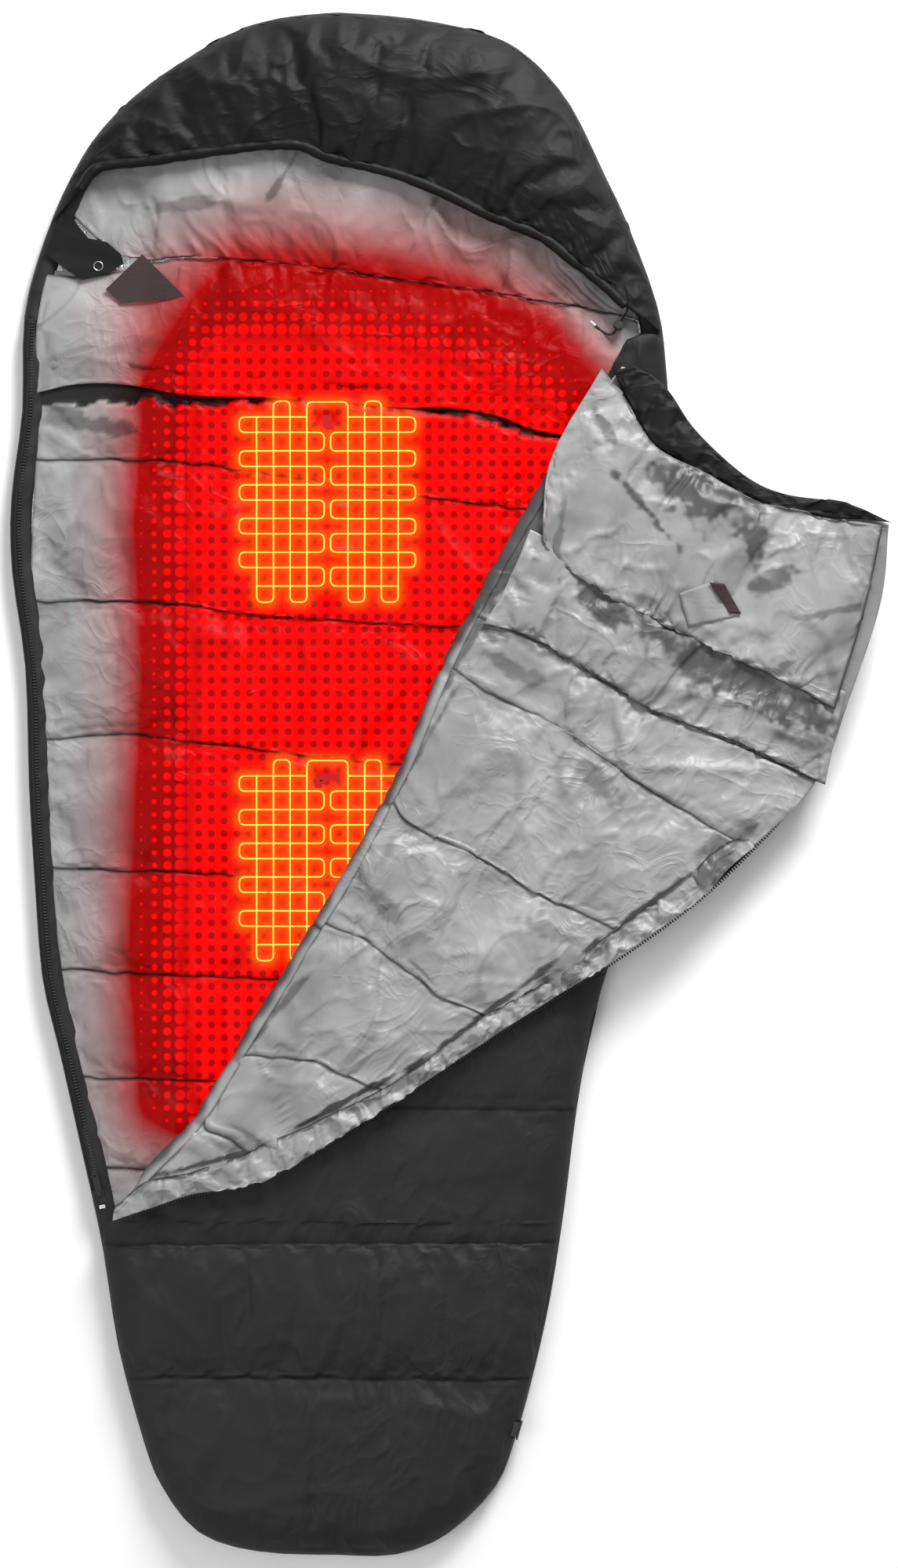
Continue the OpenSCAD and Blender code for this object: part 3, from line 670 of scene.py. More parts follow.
def quiltedSurface(look):
    # Loft through the curves, puff each bay between its seams, settle it as cloth, then add its folds
    flat, marks = loftCurves(look["curves"], look["rows"], look["cols"])
    rows, cols = flat.shape[:2]
    seamRows = [marks[k] for k in look["seams"]]
    bounds = sorted(set([0, rows - 1] + seamRows))
    share = bayShare(bounds, rows)
    across = np.linspace(0, 1, cols)
    low, span = look["low"], look["high"] - look["low"]
    puff = np.sqrt(np.clip(4 * share * (1 - share), 0, 1))[:,
                                                           None] * (1 - np.abs(2 * across - 1) ** 10)[None]
    grid = np.dstack([flat, low + quiltLook["puff"] * span * puff])
    pins = np.zeros((rows, cols))
    pins[[0, rows - 1] + seamRows] = 1
    pins[:, [0, -1]] = 1
    # Thread draws the cloth in a little, so the seams wander
    jitter = softNoise(flat, quiltLook["wanderSize"], look["seed"] + 5) * quiltLook["wander"]
    for r in seamRows:
        grid[r, :, 1] += jitter[r]
    settled = settleCloth(look["name"], grid, pins, look["seed"], **look.get("cloth", {}))
    rise = settled[..., 2] - low
    settled[..., 2] = low + softLimit(
        rise * min(1.0, quiltLook["full"] * span / np.percentile(rise, quiltLook["fullAt"])), span)
    settled = finerGrid(settled)
    seamRows = [2 * r for r in seamRows]
    extra = puckers(settled, seamRows, look["seed"], look.get("folds", 1.0))
    inside = np.minimum(1, 8 * np.minimum(np.linspace(0, 1, settled.shape[1]),
                                          np.linspace(1, 0, settled.shape[1])))
    rise = settled[..., 2] - low + extra * inside[None]
    settled[..., 2] = low + softLimit(rise, span)
    return settled, seamRows


def underFrom(top, height):
    # The underside of a pad: the same places at one height, always below the top
    under = top.copy()
    under[..., 2] = np.minimum(height, top[..., 2] - quiltLook["backUp"])
    return under


def shadePlaces(grid, patches, seed):
    # Cloth in shadow: each patch has a middle, half length, half width, turn in degrees and strength
    ragged = 0.30 * softNoise(grid, 0.007, seed) + 0.40 * softNoise(grid, 0.016,
                                                                    seed + 2) + 0.40 * softNoise(grid,
                                                                        0.04, seed + 1)
    total = np.zeros(grid.shape[:2])
    for x, y, reach, width, turn, strength in patches:
        a = math.radians(turn)
        dx, dy = grid[..., 0] - x, grid[..., 1] - y
        u, v = (dx * math.cos(a) + dy * math.sin(a)) / reach, (dy * math.cos(a) - dx * math.sin(a)) / width
        total = np.maximum(total, strength * smoothStep(1.6 * (1.25 + ragged - np.sqrt(u ** 2 + v ** 2))))
    return total


def foldShade(grid, size, seed, strength):
    # Short dark lines beside the slack folds, here and there
    beside = grid[..., :2] + np.array([0.0022, -0.0030])
    line = smoothStep((creases(beside, size, seed + 21) - 0.91) / 0.07)
    return strength * line * smoothStep(0.7 + 1.6 * softNoise(grid, 0.06, seed + 41))


def quiltPiece(look, material, shape=None, dark=None):
    # One quilted pad from its dictionary: surface, underside, seams, body and the nodes it stands for
    grid, seamRows = quiltedSurface(look)
    seam = seamValues(grid, seamRows, look.get("seamReach", 0.0026))
    if shape is not None:
        grid = shape(grid)
    # The darkening holds the seams, painted shade beside folds and in patches, and the dark a piece passes in
    # (the slit's painted shadow, the darker yoke, a side seam)
    if dark is not None:
        seam = np.maximum(seam, dark(grid))
    seam = np.maximum(seam, foldShade(grid, puckerLook["foldSize"], look["seed"],
                                      look.get("foldShade", 0.0)))
    seam = np.maximum(seam, shadePlaces(grid, look.get("shade", []), look["seed"] + 51))
    piece = closedPad(look["name"], grid, underFrom(grid, look["under"]), material)
    setAttribute(piece, "seam", seam)
    dress(piece, look["body"], look["replaces"])
    print(look["name"], "made with", len(piece.data.polygons), "faces")
    return piece, grid, seamRows


# Heating mats

matLook = {"middle": (-0.014, 0.385), "drop": 0.489, "pitch": 0.0228, "inner": 0.028,
           "step": 0.0208, "gap": 0.0252, "turn": 0.008, "radius": 0.0010, "sides": 7, "lift": 0.0009}


def roundedRun(corners, radius):
    # A row of corners with every turn rounded by an arc, points about 4 mm apart
    p = np.array(corners, float)
    out = [p[:1]]
    for k in range(1, len(p) - 1):
        before, after = p[k - 1] - p[k], p[k + 1] - p[k]
        r = min(radius, 0.499 * np.linalg.norm(before), 0.499 * np.linalg.norm(after))
        a = p[k] + before / np.linalg.norm(before) * r
        b = p[k] + after / np.linalg.norm(after) * r
        t = np.linspace(0, 1, 6)[:, None]
        out.append((1 - t) ** 2 * a + 2 * t * (1 - t) * p[k] + t ** 2 * b)
    out.append(p[-1:])
    rough = np.vstack(out)
    run = np.concatenate([[0], np.cumsum(np.linalg.norm(np.diff(rough, axis=0), axis=1))])
    at = np.unique(np.concatenate([np.arange(0, run[-1], 0.004), run]))
    return np.stack([np.interp(at, run, rough[:, k]) for k in range(2)], axis=1)


def matCorners():
    # One wire: level turns up the left half, its upright turns, over the arch and the same on the right
    m = matLook
    high, low, top, bottom = 0.115, -0.115, 0.137, -0.137
    runs = [m["inner"] + k * m["pitch"] for k in range(4)]
    outer, near = runs[3] + 0.0236, m["inner"] - 0.0236
    rows = [high - (k // 2) * (m["step"] + m["gap"]) - (k % 2) * m["step"] for k in range(11)]
    level = [(runs[0], rows[0])]
    for k in range(10):
        edge = outer if k % 2 == 0 else near
        level += [(edge, rows[k]), (edge, rows[k + 1])]
    level.append((runs[3], rows[10]))
    upright = [(runs[3], high), (runs[3], bottom), (runs[2], bottom), (runs[2], top),
               (runs[1], top), (runs[1], bottom), (runs[0], bottom), (runs[0], top - 0.001)]
    mirror = lambda row: [(-x, y) for x, y in row]
    return [mirror(level), mirror(upright) + upright[::-1], level]


matRoutes = []
for drop in (0.0, matLook["drop"]):
    for corners in matCorners():
        route = roundedRun(corners, matLook["turn"])
        matRoutes.append(route + np.array(matLook["middle"]) - np.array([0.0, drop]))
wirePoints = np.vstack([route[::2] for route in matRoutes])


def haloValues(places):
    # Nearness to the closest wire: 1 on it, gone about 9 mm away
    flat = places.reshape(-1, 2)
    near = np.full(len(flat), 1.0)
    box = (np.abs(flat[:, 0] - matLook["middle"][0]) < 0.15) & (flat[:, 1] > -0.27) & (flat[:, 1] < 0.55)
    inside = flat[box]
    best = np.full(len(inside), 1.0)
    for part in np.array_split(wirePoints, 12):
        gap = np.linalg.norm(inside[:, None] - part[None], axis=2).min(axis=1)
        best = np.minimum(best, gap)
    near[box] = best
    return np.exp(-(near / 0.0085) ** 2).reshape(places.shape[:-1])


glowShape = {
    "left": [(-0.56, -0.270), (-0.50, -0.262), (-0.38, -0.268), (-0.25, -0.280), (-0.05, -0.272),
             (0.15, -0.262), (0.35, -0.273), (0.50, -0.262), (0.66, -0.275), (0.75, -0.235), (0.80, -0.20)],
    "leftFade": [(-0.095, 0.0), (-0.055, 0.14), (-0.025, 0.40), (0.0, 0.60), (0.05, 0.78), (0.10, 1.0)],
    "top": [(-0.34, 0.74), (-0.245, 0.795), (-0.138, 0.823), (-0.032, 0.822), (0.075, 0.811),
            (0.181, 0.783),
            (0.2875, 0.732), (0.351, 0.662), (0.40, 0.600)],
    "topFade": [(-0.01, 0.0), (0.05, 0.26), (0.095, 0.54), (0.15, 0.64), (0.20, 0.80), (0.25, 1.0)],
    "foot": -0.50, "footFade": 0.07}


def smoothStep(value):
    value = np.clip(value, 0, 1)
    return value * value * (3 - 2 * value)


def glowValues(places):
    # Red inside a soft outline that fades at the left, at the top and towards the foot
    x, y = places[..., 0], places[..., 1]
    left, top = np.array(glowShape["left"]), np.array(glowShape["top"])
    leftFade, topFade = np.array(glowShape["leftFade"]), np.array(glowShape["topFade"])
    a = np.interp(x - np.interp(y, left[:, 0], left[:, 1]), leftFade[:, 0], leftFade[:, 1])
    b = np.interp(np.interp(x, top[:, 0], top[:, 1]) - y, topFade[:, 0], topFade[:, 1])
    c = smoothStep((y - glowShape["foot"]) / (2 * glowShape["footFade"]) + 0.5)
    return a * b * c


# Lining of the body, with its mats
bodyLining = {
    "name": "bodyLining", "body": "root", "slot": "lining_cloth", "replaces": ["back_lining"],
    "curves": [
        [(-0.398, 0.700), (-0.262, 0.704), (-0.197, 0.717), (-0.05, 0.706), (0.181, 0.674), (0.362, 0.644),
         (0.408, 0.630)],
        [(-0.412, 0.444), (-0.32, 0.442), (-0.245, 0.441), (-0.138, 0.429), (0.117, 0.392), (0.277, 0.373),
         (0.416, 0.360)],
        [(-0.418, 0.250), (-0.245, 0.247), (-0.138, 0.234), (-0.032, 0.225), (0.181, 0.213),
         (0.410, 0.205)],
        [(-0.400, 0.060), (-0.298, 0.068), (-0.176, 0.055), (0.075, 0.027), (0.392, 0.010)],
        [(-0.391, -0.115), (-0.296, -0.118), (-0.138, -0.124), (0.1, -0.13), (0.370, -0.14)],
        [(-0.378, -0.252), (-0.267, -0.260), (-0.078, -0.266), (0.1, -0.27), (0.336, -0.28)],
        [(-0.350, -0.400), (-0.23, -0.404), (0.0, -0.41), (0.310, -0.42)],
        [(-0.318, -0.525), (-0.266, -0.526), (0.0, -0.53), (0.292, -0.54)],
        [(-0.276, -0.70), (0.0, -0.705), (0.264, -0.70)],
        [(-0.236, -0.88), (0.0, -0.885), (0.220, -0.88)],
        [(-0.150, -1.015), (0.0, -1.028), (0.120, -1.015)]],
    "rows": [34, 24, 24, 22, 20, 20, 18, 12, 8, 6], "cols": 113, "seams": range(1, 10),
    "low": 0.0165, "high": 0.0285, "under": 0.0155, "seed": 3, "foldShade": 0.25,
    "shade": [(-0.330, 0.490, 0.060, 0.010, -8, 0.6), (-0.375, 0.500, 0.030, 0.018, 0, 0.5),
              (0.300, 0.415, 0.03, 0.018, 60, 0.5)], "cloth": {"pressure": 2.4, "grow": 0.05}}

# The slit below the loose edge of the neck collar, painted dark as the collar's shadow: distance across, the
# edge's height, the slit's width
collarSlit = np.array([
    (-0.412, 0.533, 0.024), (-0.357, 0.545, 0.025), (-0.293, 0.545, 0.023), (-0.198, 0.530, 0.018),
    (-0.150, 0.528, 0.012),
    (-0.097, 0.527, 0.009), (-0.050, 0.522, 0.002), (0.020, 0.517, 0.002), (0.071, 0.514, 0.006),
    (0.155, 0.513, 0.010),
    (0.222, 0.501, 0.012), (0.262, 0.485, 0.012), (0.320, 0.474, 0.010), (0.420, 0.460, 0.008)])


def slitShare(places):
    # 1 inside the slit, with a slightly ragged lower edge
    x, y = places[..., 0], places[..., 1]
    edge = np.interp(x, collarSlit[:, 0], collarSlit[:, 1])
    width = np.interp(x, collarSlit[:, 0], collarSlit[:, 2]) * (1 + 0.45 * softNoise(places, 0.014, 7))
    return smoothStep((y - (edge - width)) / 0.003) * smoothStep((edge + 0.03 - y) / 0.01)


def bodyLiningShape(grid):
    # Low in the slit, so that the collar's loose edge stands above it
    out = grid.copy()
    share = slitShare(grid)
    out[..., 2] = grid[..., 2] * (1 - share) + np.minimum(grid[..., 2], 0.0178) * share
    return pressNear(out, (-0.290, 0.690), 0.040, 0.0190)


def glowingPiece(look, shape, dark=None):
    # A quilted pad of the glowing lining; returns its surface
    piece, grid, seamRows = quiltPiece(look, glowingLining, shape, dark)
    setAttribute(piece, "glow", glowValues(grid))
    setAttribute(piece, "halo", haloValues(grid[..., :2]))
    return grid


# The slit is painted dark as shadow under the collar's loose edge
liningGrid = glowingPiece(bodyLining, bodyLiningShape, slitShare)


def surfaceUnder(grid):
    # A search tree over a grid, to lay things on it
    rows, cols = grid.shape[:2]
    return BVHTree.FromPolygons(grid.reshape(-1, 3).tolist(), gridFaces(rows, cols).tolist())


def layOn(tree, places, above, fallback):
    # Heights of flat points once they lie on a surface
    heights = np.full(len(places), fallback)
    for k, (x, y) in enumerate(places):
        hit = tree.ray_cast(Vector((x, y, 0.2)), Vector((0, 0, -1)))[0]
        if hit is not None:
            heights[k] = hit.z + above
    return heights


def tubeAlong(points, radius, sides=8, flat=1.0, turn=0.0):
    # Rings round a row of points; flat squashes them upwards, radius may change along the row
    p = np.asarray(points, float)
    u = np.gradient(p, axis=0)
    u /= np.linalg.norm(u, axis=1)[:, None]
    s = np.cross(u, np.array([0, 0, 1.0]))
    s /= np.maximum(np.linalg.norm(s, axis=1), 1e-9)[:, None]
    w = np.cross(s, u)
    a = np.linspace(0, 2 * math.pi, sides, endpoint=False) + turn
    r = np.broadcast_to(np.asarray(radius, float), len(p))[:, None, None]
    return p[:, None] + r * (np.cos(a)[None, :, None] * s[:, None] + flat * np.sin(a)[None, :, None]
                             * w[:, None])


def tubePiece(name, rings, material):
    # Closed tube through rings of points
    rows, sides = rings.shape[:2]
    faces = gridFaces(rows, sides, wrap=True)[:, ::-1].tolist()
    faces += [list(range(sides)), [(rows - 1) * sides + k for k in range(sides - 1, -1, -1)]]
    return makePiece(name, rings, faces, material)




def nearOutline(places):
    # Distance of each point from the blanket's outline
    flat = places.reshape(-1, 2)
    a, b = outlineCurve, np.roll(outlineCurve, -1, axis=0)
    span = b - a
    size = (span ** 2).sum(axis=1)
    out = []
    for part in np.array_split(flat, max(1, len(flat) // 4000)):
        t = np.clip(((part[:, None] - a[None]) * span[None]).sum(axis=2) / size, 0, 1)
        out.append(np.linalg.norm(a[None] + t[..., None] * span[None] - part[:, None], axis=2).min(axis=1))
    return np.concatenate(out).reshape(places.shape[:-1])


def roundOver(grid, foot, reach):
    # Near the outline the height falls as a quarter ellipse, down to foot
    t = np.clip(1 - nearOutline(grid[..., :2]) / reach, 0, 1)
    out = grid.copy()
    out[..., 2] = foot + (grid[..., 2] - foot) * np.sqrt(1 - t ** 2)
    return out


outlineClosed = np.vstack([outline, outline[:1]])
outlineRun = np.concatenate([[0], np.cumsum(np.linalg.norm(np.diff(outlineClosed, axis=0), axis=1))])
outlineAt = np.linspace(0, outlineRun[-1], 700, endpoint=False)
outlineCurve = np.stack([np.interp(outlineAt, outlineRun, outlineClosed[:, k]) for k in range(2)], axis=1)

# The soft edge of the fold, as it lies when the panel is folded back: height on the blanket, distance across
creaseEdge = np.array([
    (-0.591, -0.309), (-0.550, -0.286), (-0.511, -0.252), (-0.469, -0.208), (-0.426, -0.177),
    (-0.383, -0.152),
    (-0.341, -0.127), (-0.298, -0.100), (-0.256, -0.074), (-0.213, -0.050), (-0.170, -0.022),
    (-0.128, 0.004),
    (-0.085, 0.028), (-0.043, 0.049), (0.0, 0.072), (0.043, 0.093), (0.085, 0.110), (0.128, 0.127),
    (0.170, 0.145),
    (0.213, 0.166), (0.256, 0.190), (0.298, 0.212), (0.341, 0.236), (0.383, 0.262), (0.426, 0.286),
    (0.469, 0.308),
    (0.511, 0.334), (0.554, 0.364), (0.590, 0.388)])


def creaseX(y, right=0.0):
    return float(np.interp(y, creaseEdge[:, 0], creaseEdge[:, 1])) + right


# Bound edge round the back panel: a soft roll of shell cloth
edgeRoll = {
    "profile": [(0.058, 0.0006), (0.020, 0.0002), (0.007, 0.003), (0.0005, 0.010), (0.002, 0.017),
                (0.009, 0.0215),
                (0.018, 0.0215), (0.027, 0.0180), (0.031, 0.0110), (0.031, 0.0040)],
    "puff": 0.0022, "seed": 41}


def makeEdgeRoll(look):
    # Profile (distance in from the outline, height) carried round the outline, swelling and thinning a little
    u = np.roll(outlineCurve, -2, axis=0) - np.roll(outlineCurve, 2, axis=0)
    u /= np.linalg.norm(u, axis=1)[:, None]
    inward = np.stack([-u[:, 1], u[:, 0]], axis=1)
    if ((outlineCurve[0] + 0.05 * inward[0]) ** 2).sum() > (outlineCurve[0] ** 2).sum():
        inward = -inward
    profile = spreadAlong(look["profile"] + look["profile"][:1], 25)[:-1]
    swell = 1 + 0.10 * softNoise(outlineCurve, 0.07, look["seed"]) + 0.06 * softNoise(outlineCurve, 0.02,
        look["seed"] + 1)
    rings = np.zeros((len(outlineCurve), len(profile), 3))
    rings[..., :2] = outlineCurve[:, None] + inward[:, None] * profile[None, :, 0, None]
    rings[..., 2] = np.clip(profile[None, :, 1] * swell[:, None], 0.0002, 0.0235)
    rows, sides = rings.shape[:2]
    i, j = np.meshgrid(np.arange(rows), np.arange(sides), indexing="ij")
    corners = [(i, j), (i, (j + 1) % sides), ((i + 1) % rows, (j + 1) % sides), ((i + 1) % rows, j)]
    faces = np.stack([a * sides + b for a, b in corners], axis=-1).reshape(-1, 4)
    return makePiece("edgeRoll", rings, faces, cloths["shellCloth"])


def faceOut(piece):
    # Turn every face of a closed mesh outwards
    work = bmesh.new()
    work.from_mesh(piece.data)
    bmesh.ops.recalc_face_normals(work, faces=work.faces)
    work.to_mesh(piece.data)
    work.free()
    return piece


edgeRollPiece = faceOut(makeEdgeRoll(edgeRoll))
dress(edgeRollPiece, "root", ["edge_binding"])
print("edge roll made")


def panelRow(leftY, rightY, count=6, sag=0.0):
    # A row of the front panel, from the fold or the left side to the right side
    left = creaseX(leftY, 0.010) if leftY > -0.592 else leftX(leftY, 0.003)
    t = np.linspace(0, 1, count)
    x = left + (rightX(rightY, 0.003) - left) * t
    return list(zip(x, leftY + (rightY - leftY) * t + sag * np.sin(math.pi * t)))


# Front panel that stays closed: the right side under the fold, and the whole foot
frontPanel = {
    "name": "frontPanel", "body": "root", "slot": "shell_cloth",
    "replaces": ["front_shell", "front_fill", "front_lining", "body_gusset"],
    "curves": [
        [(0.393, 0.604), (0.412, 0.611), (0.430, 0.612), (0.441, 0.606)],
        panelRow(0.500, 0.490), panelRow(0.330, 0.320), panelRow(0.140, 0.130), panelRow(-0.070, -0.080),
        panelRow(-0.250, -0.260), panelRow(-0.425, -0.443, sag=-0.006), panelRow(-0.540, -0.550),
        panelRow(-0.588, -0.592), panelRow(-0.626, -0.624, sag=0.001), panelRow(-0.808, -0.810, sag=0.001),
        [(-0.262, -0.900), (-0.20, -0.942), (-0.08, -0.955), (0.06, -0.955), (0.17, -0.945),
         (0.240, -0.895)],
        [(-0.236, -0.962), (-0.19, -1.018), (-0.11, -1.044), (0, -1.049), (0.08, -1.048), (0.15, -1.020),
         (0.211, -0.962)]],
    "rows": [8, 14, 16, 18, 16, 16, 12, 5, 5, 26, 16, 14], "cols": 93, "seams": [1, 2, 3, 4, 5, 6, 9, 10],
    "low": 0.0445, "high": 0.0595, "under": 0.034, "seed": 61, "folds": 0.8,
    "cloth": {"pressure": 2.2, "grow": 0.03}, "foot": 0.0165, "reach": 0.050, "lowUnderFlap": 0.0065}


def frontPanelShape(grid):
    # Lower where the folded panel lies on it, and rounded down to the edge roll at its sides
    under = smoothStep((grid[..., 1] + 0.60) / 0.05)
    out = grid.copy()
    rise = np.clip(out[..., 2] - frontPanel["low"], 0, None)
    out[..., 2] -= under * rise * frontPanel["lowUnderFlap"] / (frontPanel["high"] - frontPanel["low"])
    return roundOver(out, frontPanel["foot"], frontPanel["reach"])


def neckShade(grid):
    # The yoke at the neck is blacker than the rest of the panel
    return 0.7 * smoothStep((grid[..., 1] - 0.50) / 0.05)


quiltPiece(frontPanel, cloths["shellCloth"], frontPanelShape, neckShade)


def arcOfOutline(start, end, count, inset):
    # Part of the outline over the crown, from one place to another, moved inwards
    middle = np.array([0.02, 0.78])
    angle = np.unwrap(np.arctan2(outlineCurve[:, 1] - middle[1], outlineCurve[:, 0] - middle[0]))
    a = math.atan2(start[1] - middle[1], start[0] - middle[0]) % (2 * math.pi)
    b = math.atan2(end[1] - middle[1], end[0] - middle[0])
    want = np.linspace(a, b, count)
    ray = np.stack([np.cos(want), np.sin(want)], axis=1)
    turned = (angle - want[:, None] + math.pi) % (2 * math.pi) - math.pi
    picked = outlineCurve[np.abs(turned).argmin(axis=1)]
    far = np.linalg.norm(picked - middle, axis=1)
    return middle + ray * (far - inset)[:, None]


browLine = [(-0.350, 0.808), (-0.324, 0.838), (-0.256, 0.848), (-0.197, 0.857), (-0.067, 0.870),
            (-0.011, 0.852),
            (0.075, 0.831), (0.141, 0.806), (0.201, 0.776), (0.276, 0.745), (0.320, 0.712), (0.363, 0.678),
            (0.392, 0.650)]
hoodRim = arcOfOutline((-0.388, 0.765), (0.441, 0.615), 40, 0.003)
browSpread = spreadAlong(browLine, 40)

# Hood, from the brow over the crown
hoodPad = {
    "name": "hoodShell", "body": "root", "slot": "hood_cloth",
    "replaces": ["hood_shell", "hood_fill", "hood_lining", "hood_gusset"],
    "curves": [browSpread.tolist(), (browSpread * 0.7 + hoodRim * 0.3).tolist(),
               (browSpread * 0.35 + hoodRim * 0.65).tolist(), hoodRim.tolist()],
    "rows": [16, 16, 16], "cols": 121, "seams": [0],
    "low": 0.047, "high": 0.067, "under": 0.036, "seed": 81, "folds": 1.1,
    "cloth": {"pressure": 2.0, "grow": 0.05}, "foot": 0.012, "reach": 0.065}
quiltPiece(
    hoodPad, cloths["hoodCloth"], lambda grid: roundOver(grid, hoodPad["foot"], hoodPad["reach"]))

# Gathered hem round the face opening, with the drawcord inside it
hoodHem = {"count": 260, "wide": 0.0075, "tall": 1.15, "height": 0.0432, "gather": 0.12, "seed": 91}
hemLine = spreadAlong(browLine, hoodHem["count"])
hemRadius = hoodHem["wide"] * (1 + hoodHem["gather"] * softNoise(hemLine, 0.010, hoodHem["seed"])
                               + 0.08 * softNoise(hemLine, 0.05, hoodHem["seed"] + 1))
hemPath = np.column_stack([hemLine, np.full(len(hemLine), hoodHem["height"])])
hemPiece = faceOut(tubePiece("hoodHem", tubeAlong(hemPath, hemRadius, 14, hoodHem["tall"]),
                             cloths["hoodCloth"]))
dress(hemPiece, "root", ["hood_hem"])

fittingPlaces = [((-0.345, 0.725), 0.055, 0.0198), ((-0.262, 0.690), 0.050, 0.0228),
                 ((0.383, 0.625), 0.030, 0.0200)]


def pressFittings(grid):
    for centre, reach, limit in fittingPlaces:
        grid = pressNear(grid, centre, reach, limit)
    return grid


# Lining of the hood behind the head
hoodBack = {
    "name": "hoodBackLining", "body": "root", "slot": "lining_cloth", "replaces": ["hood_back_lining"],
    "curves": [
        [(-0.290, 0.880), (-0.17, 0.940), (0.0, 0.965), (0.15, 0.955), (0.28, 0.87), (0.38, 0.745),
         (0.420, 0.680)],
        [(-0.368, 0.800), (-0.26, 0.850), (-0.13, 0.862), (0.0, 0.850), (0.141, 0.806), (0.276, 0.740),
         (0.40, 0.655)],
        [(-0.355, 0.770), (-0.26, 0.790), (-0.13, 0.795), (0.0, 0.785), (0.141, 0.750), (0.276, 0.700),
         (0.405, 0.645)],
        [(-0.305, 0.722), (-0.25, 0.715), (-0.197, 0.719), (-0.05, 0.706), (0.181, 0.674), (0.362, 0.644),
         (0.410, 0.633)]],
    "rows": [14, 12, 14], "cols": 121, "seams": [3], "low": 0.0175, "high": 0.0320, "under": 0.0165,
    "seed": 101, "foldShade": 0.3,
    "shade": [(-0.076, 0.826, 0.045, 0.005, 59, 0.55), (0.130, 0.790, 0.055, 0.004, 65, 0.45),
              (-0.200, 0.790, 0.05, 0.008, 10, 0.4)],
    "folds": 1.5, "cloth": {"pressure": 2.6, "grow": 0.07}}
glowingPiece(hoodBack, pressFittings)

# Loose padded collar behind the neck
backCollar = {
    "name": "backDraftCollar", "body": "root", "slot": "lining_cloth", "replaces": ["back_draft_collar"],
    "curves": [
        [(-0.398, 0.694), (-0.33, 0.692), (-0.262, 0.708), (-0.197, 0.717), (-0.05, 0.706), (0.181, 0.674),
         (0.362, 0.644), (0.408, 0.632)],
        [(-0.411, 0.620), (-0.25, 0.633), (-0.10, 0.625), (0.07, 0.610), (0.22, 0.590), (0.33, 0.565),
         (0.418, 0.550)],
        [(-0.412, 0.533), (-0.357, 0.545), (-0.293, 0.545), (-0.198, 0.530), (-0.097, 0.527),
         (0.071, 0.514),
         (0.155, 0.513), (0.222, 0.501), (0.262, 0.485), (0.32, 0.474), (0.42, 0.460)]],
    "rows": [15, 17], "cols": 121, "seams": [0], "low": 0.0215, "high": 0.0315, "under": 0.0205,
    "seed": 111, "foldShade": 0.25,
    "folds": 1.2, "cloth": {"pressure": 2.2, "grow": 0.05}}
collarGrid = glowingPiece(backCollar, pressFittings)
print("hood and collar made")

# Heating wires, laid over the lining and over the loose edge of the collar
liningTree, collarTree = surfaceUnder(liningGrid), surfaceUnder(collarGrid)
sides = matLook["sides"]
for number, wireName in enumerate(("upper_heater_wire", "lower_heater_wire")):
    rings, faceRows, count = [], [], 0
    for route in matRoutes[3 * number:3 * number + 3]:
        heights = np.maximum(*(layOn(t, route, matLook["lift"], bodyLining["low"]) for t in (liningTree,
            collarTree)))
        heights = np.convolve(np.pad(heights, 2, mode="edge"), np.ones(5) / 5, mode="valid")
        path = np.column_stack([route, heights])
        rings.append(tubeAlong(path, matLook["radius"], sides).reshape(-1, 3))
        last = count + (len(path) - 1) * sides
        faceRows += gridFaces(len(path), sides, count, wrap=True)[:, ::-1].tolist()
        faceRows += [list(range(count, count + sides)), list(range(last + sides - 1, last - 1, -1))]
        count = last + sides
    wire = makePiece(wireName.replace("_", "-"), np.vstack(rings), faceRows, glowingWire)
    dress(wire, "root", [wireName])
print("heating wires laid")


def flapRow(start, points):
    # A row of the folded panel, from its crease at height start to its outer edge
    return [(creaseX(start, 0.014), start)] + points


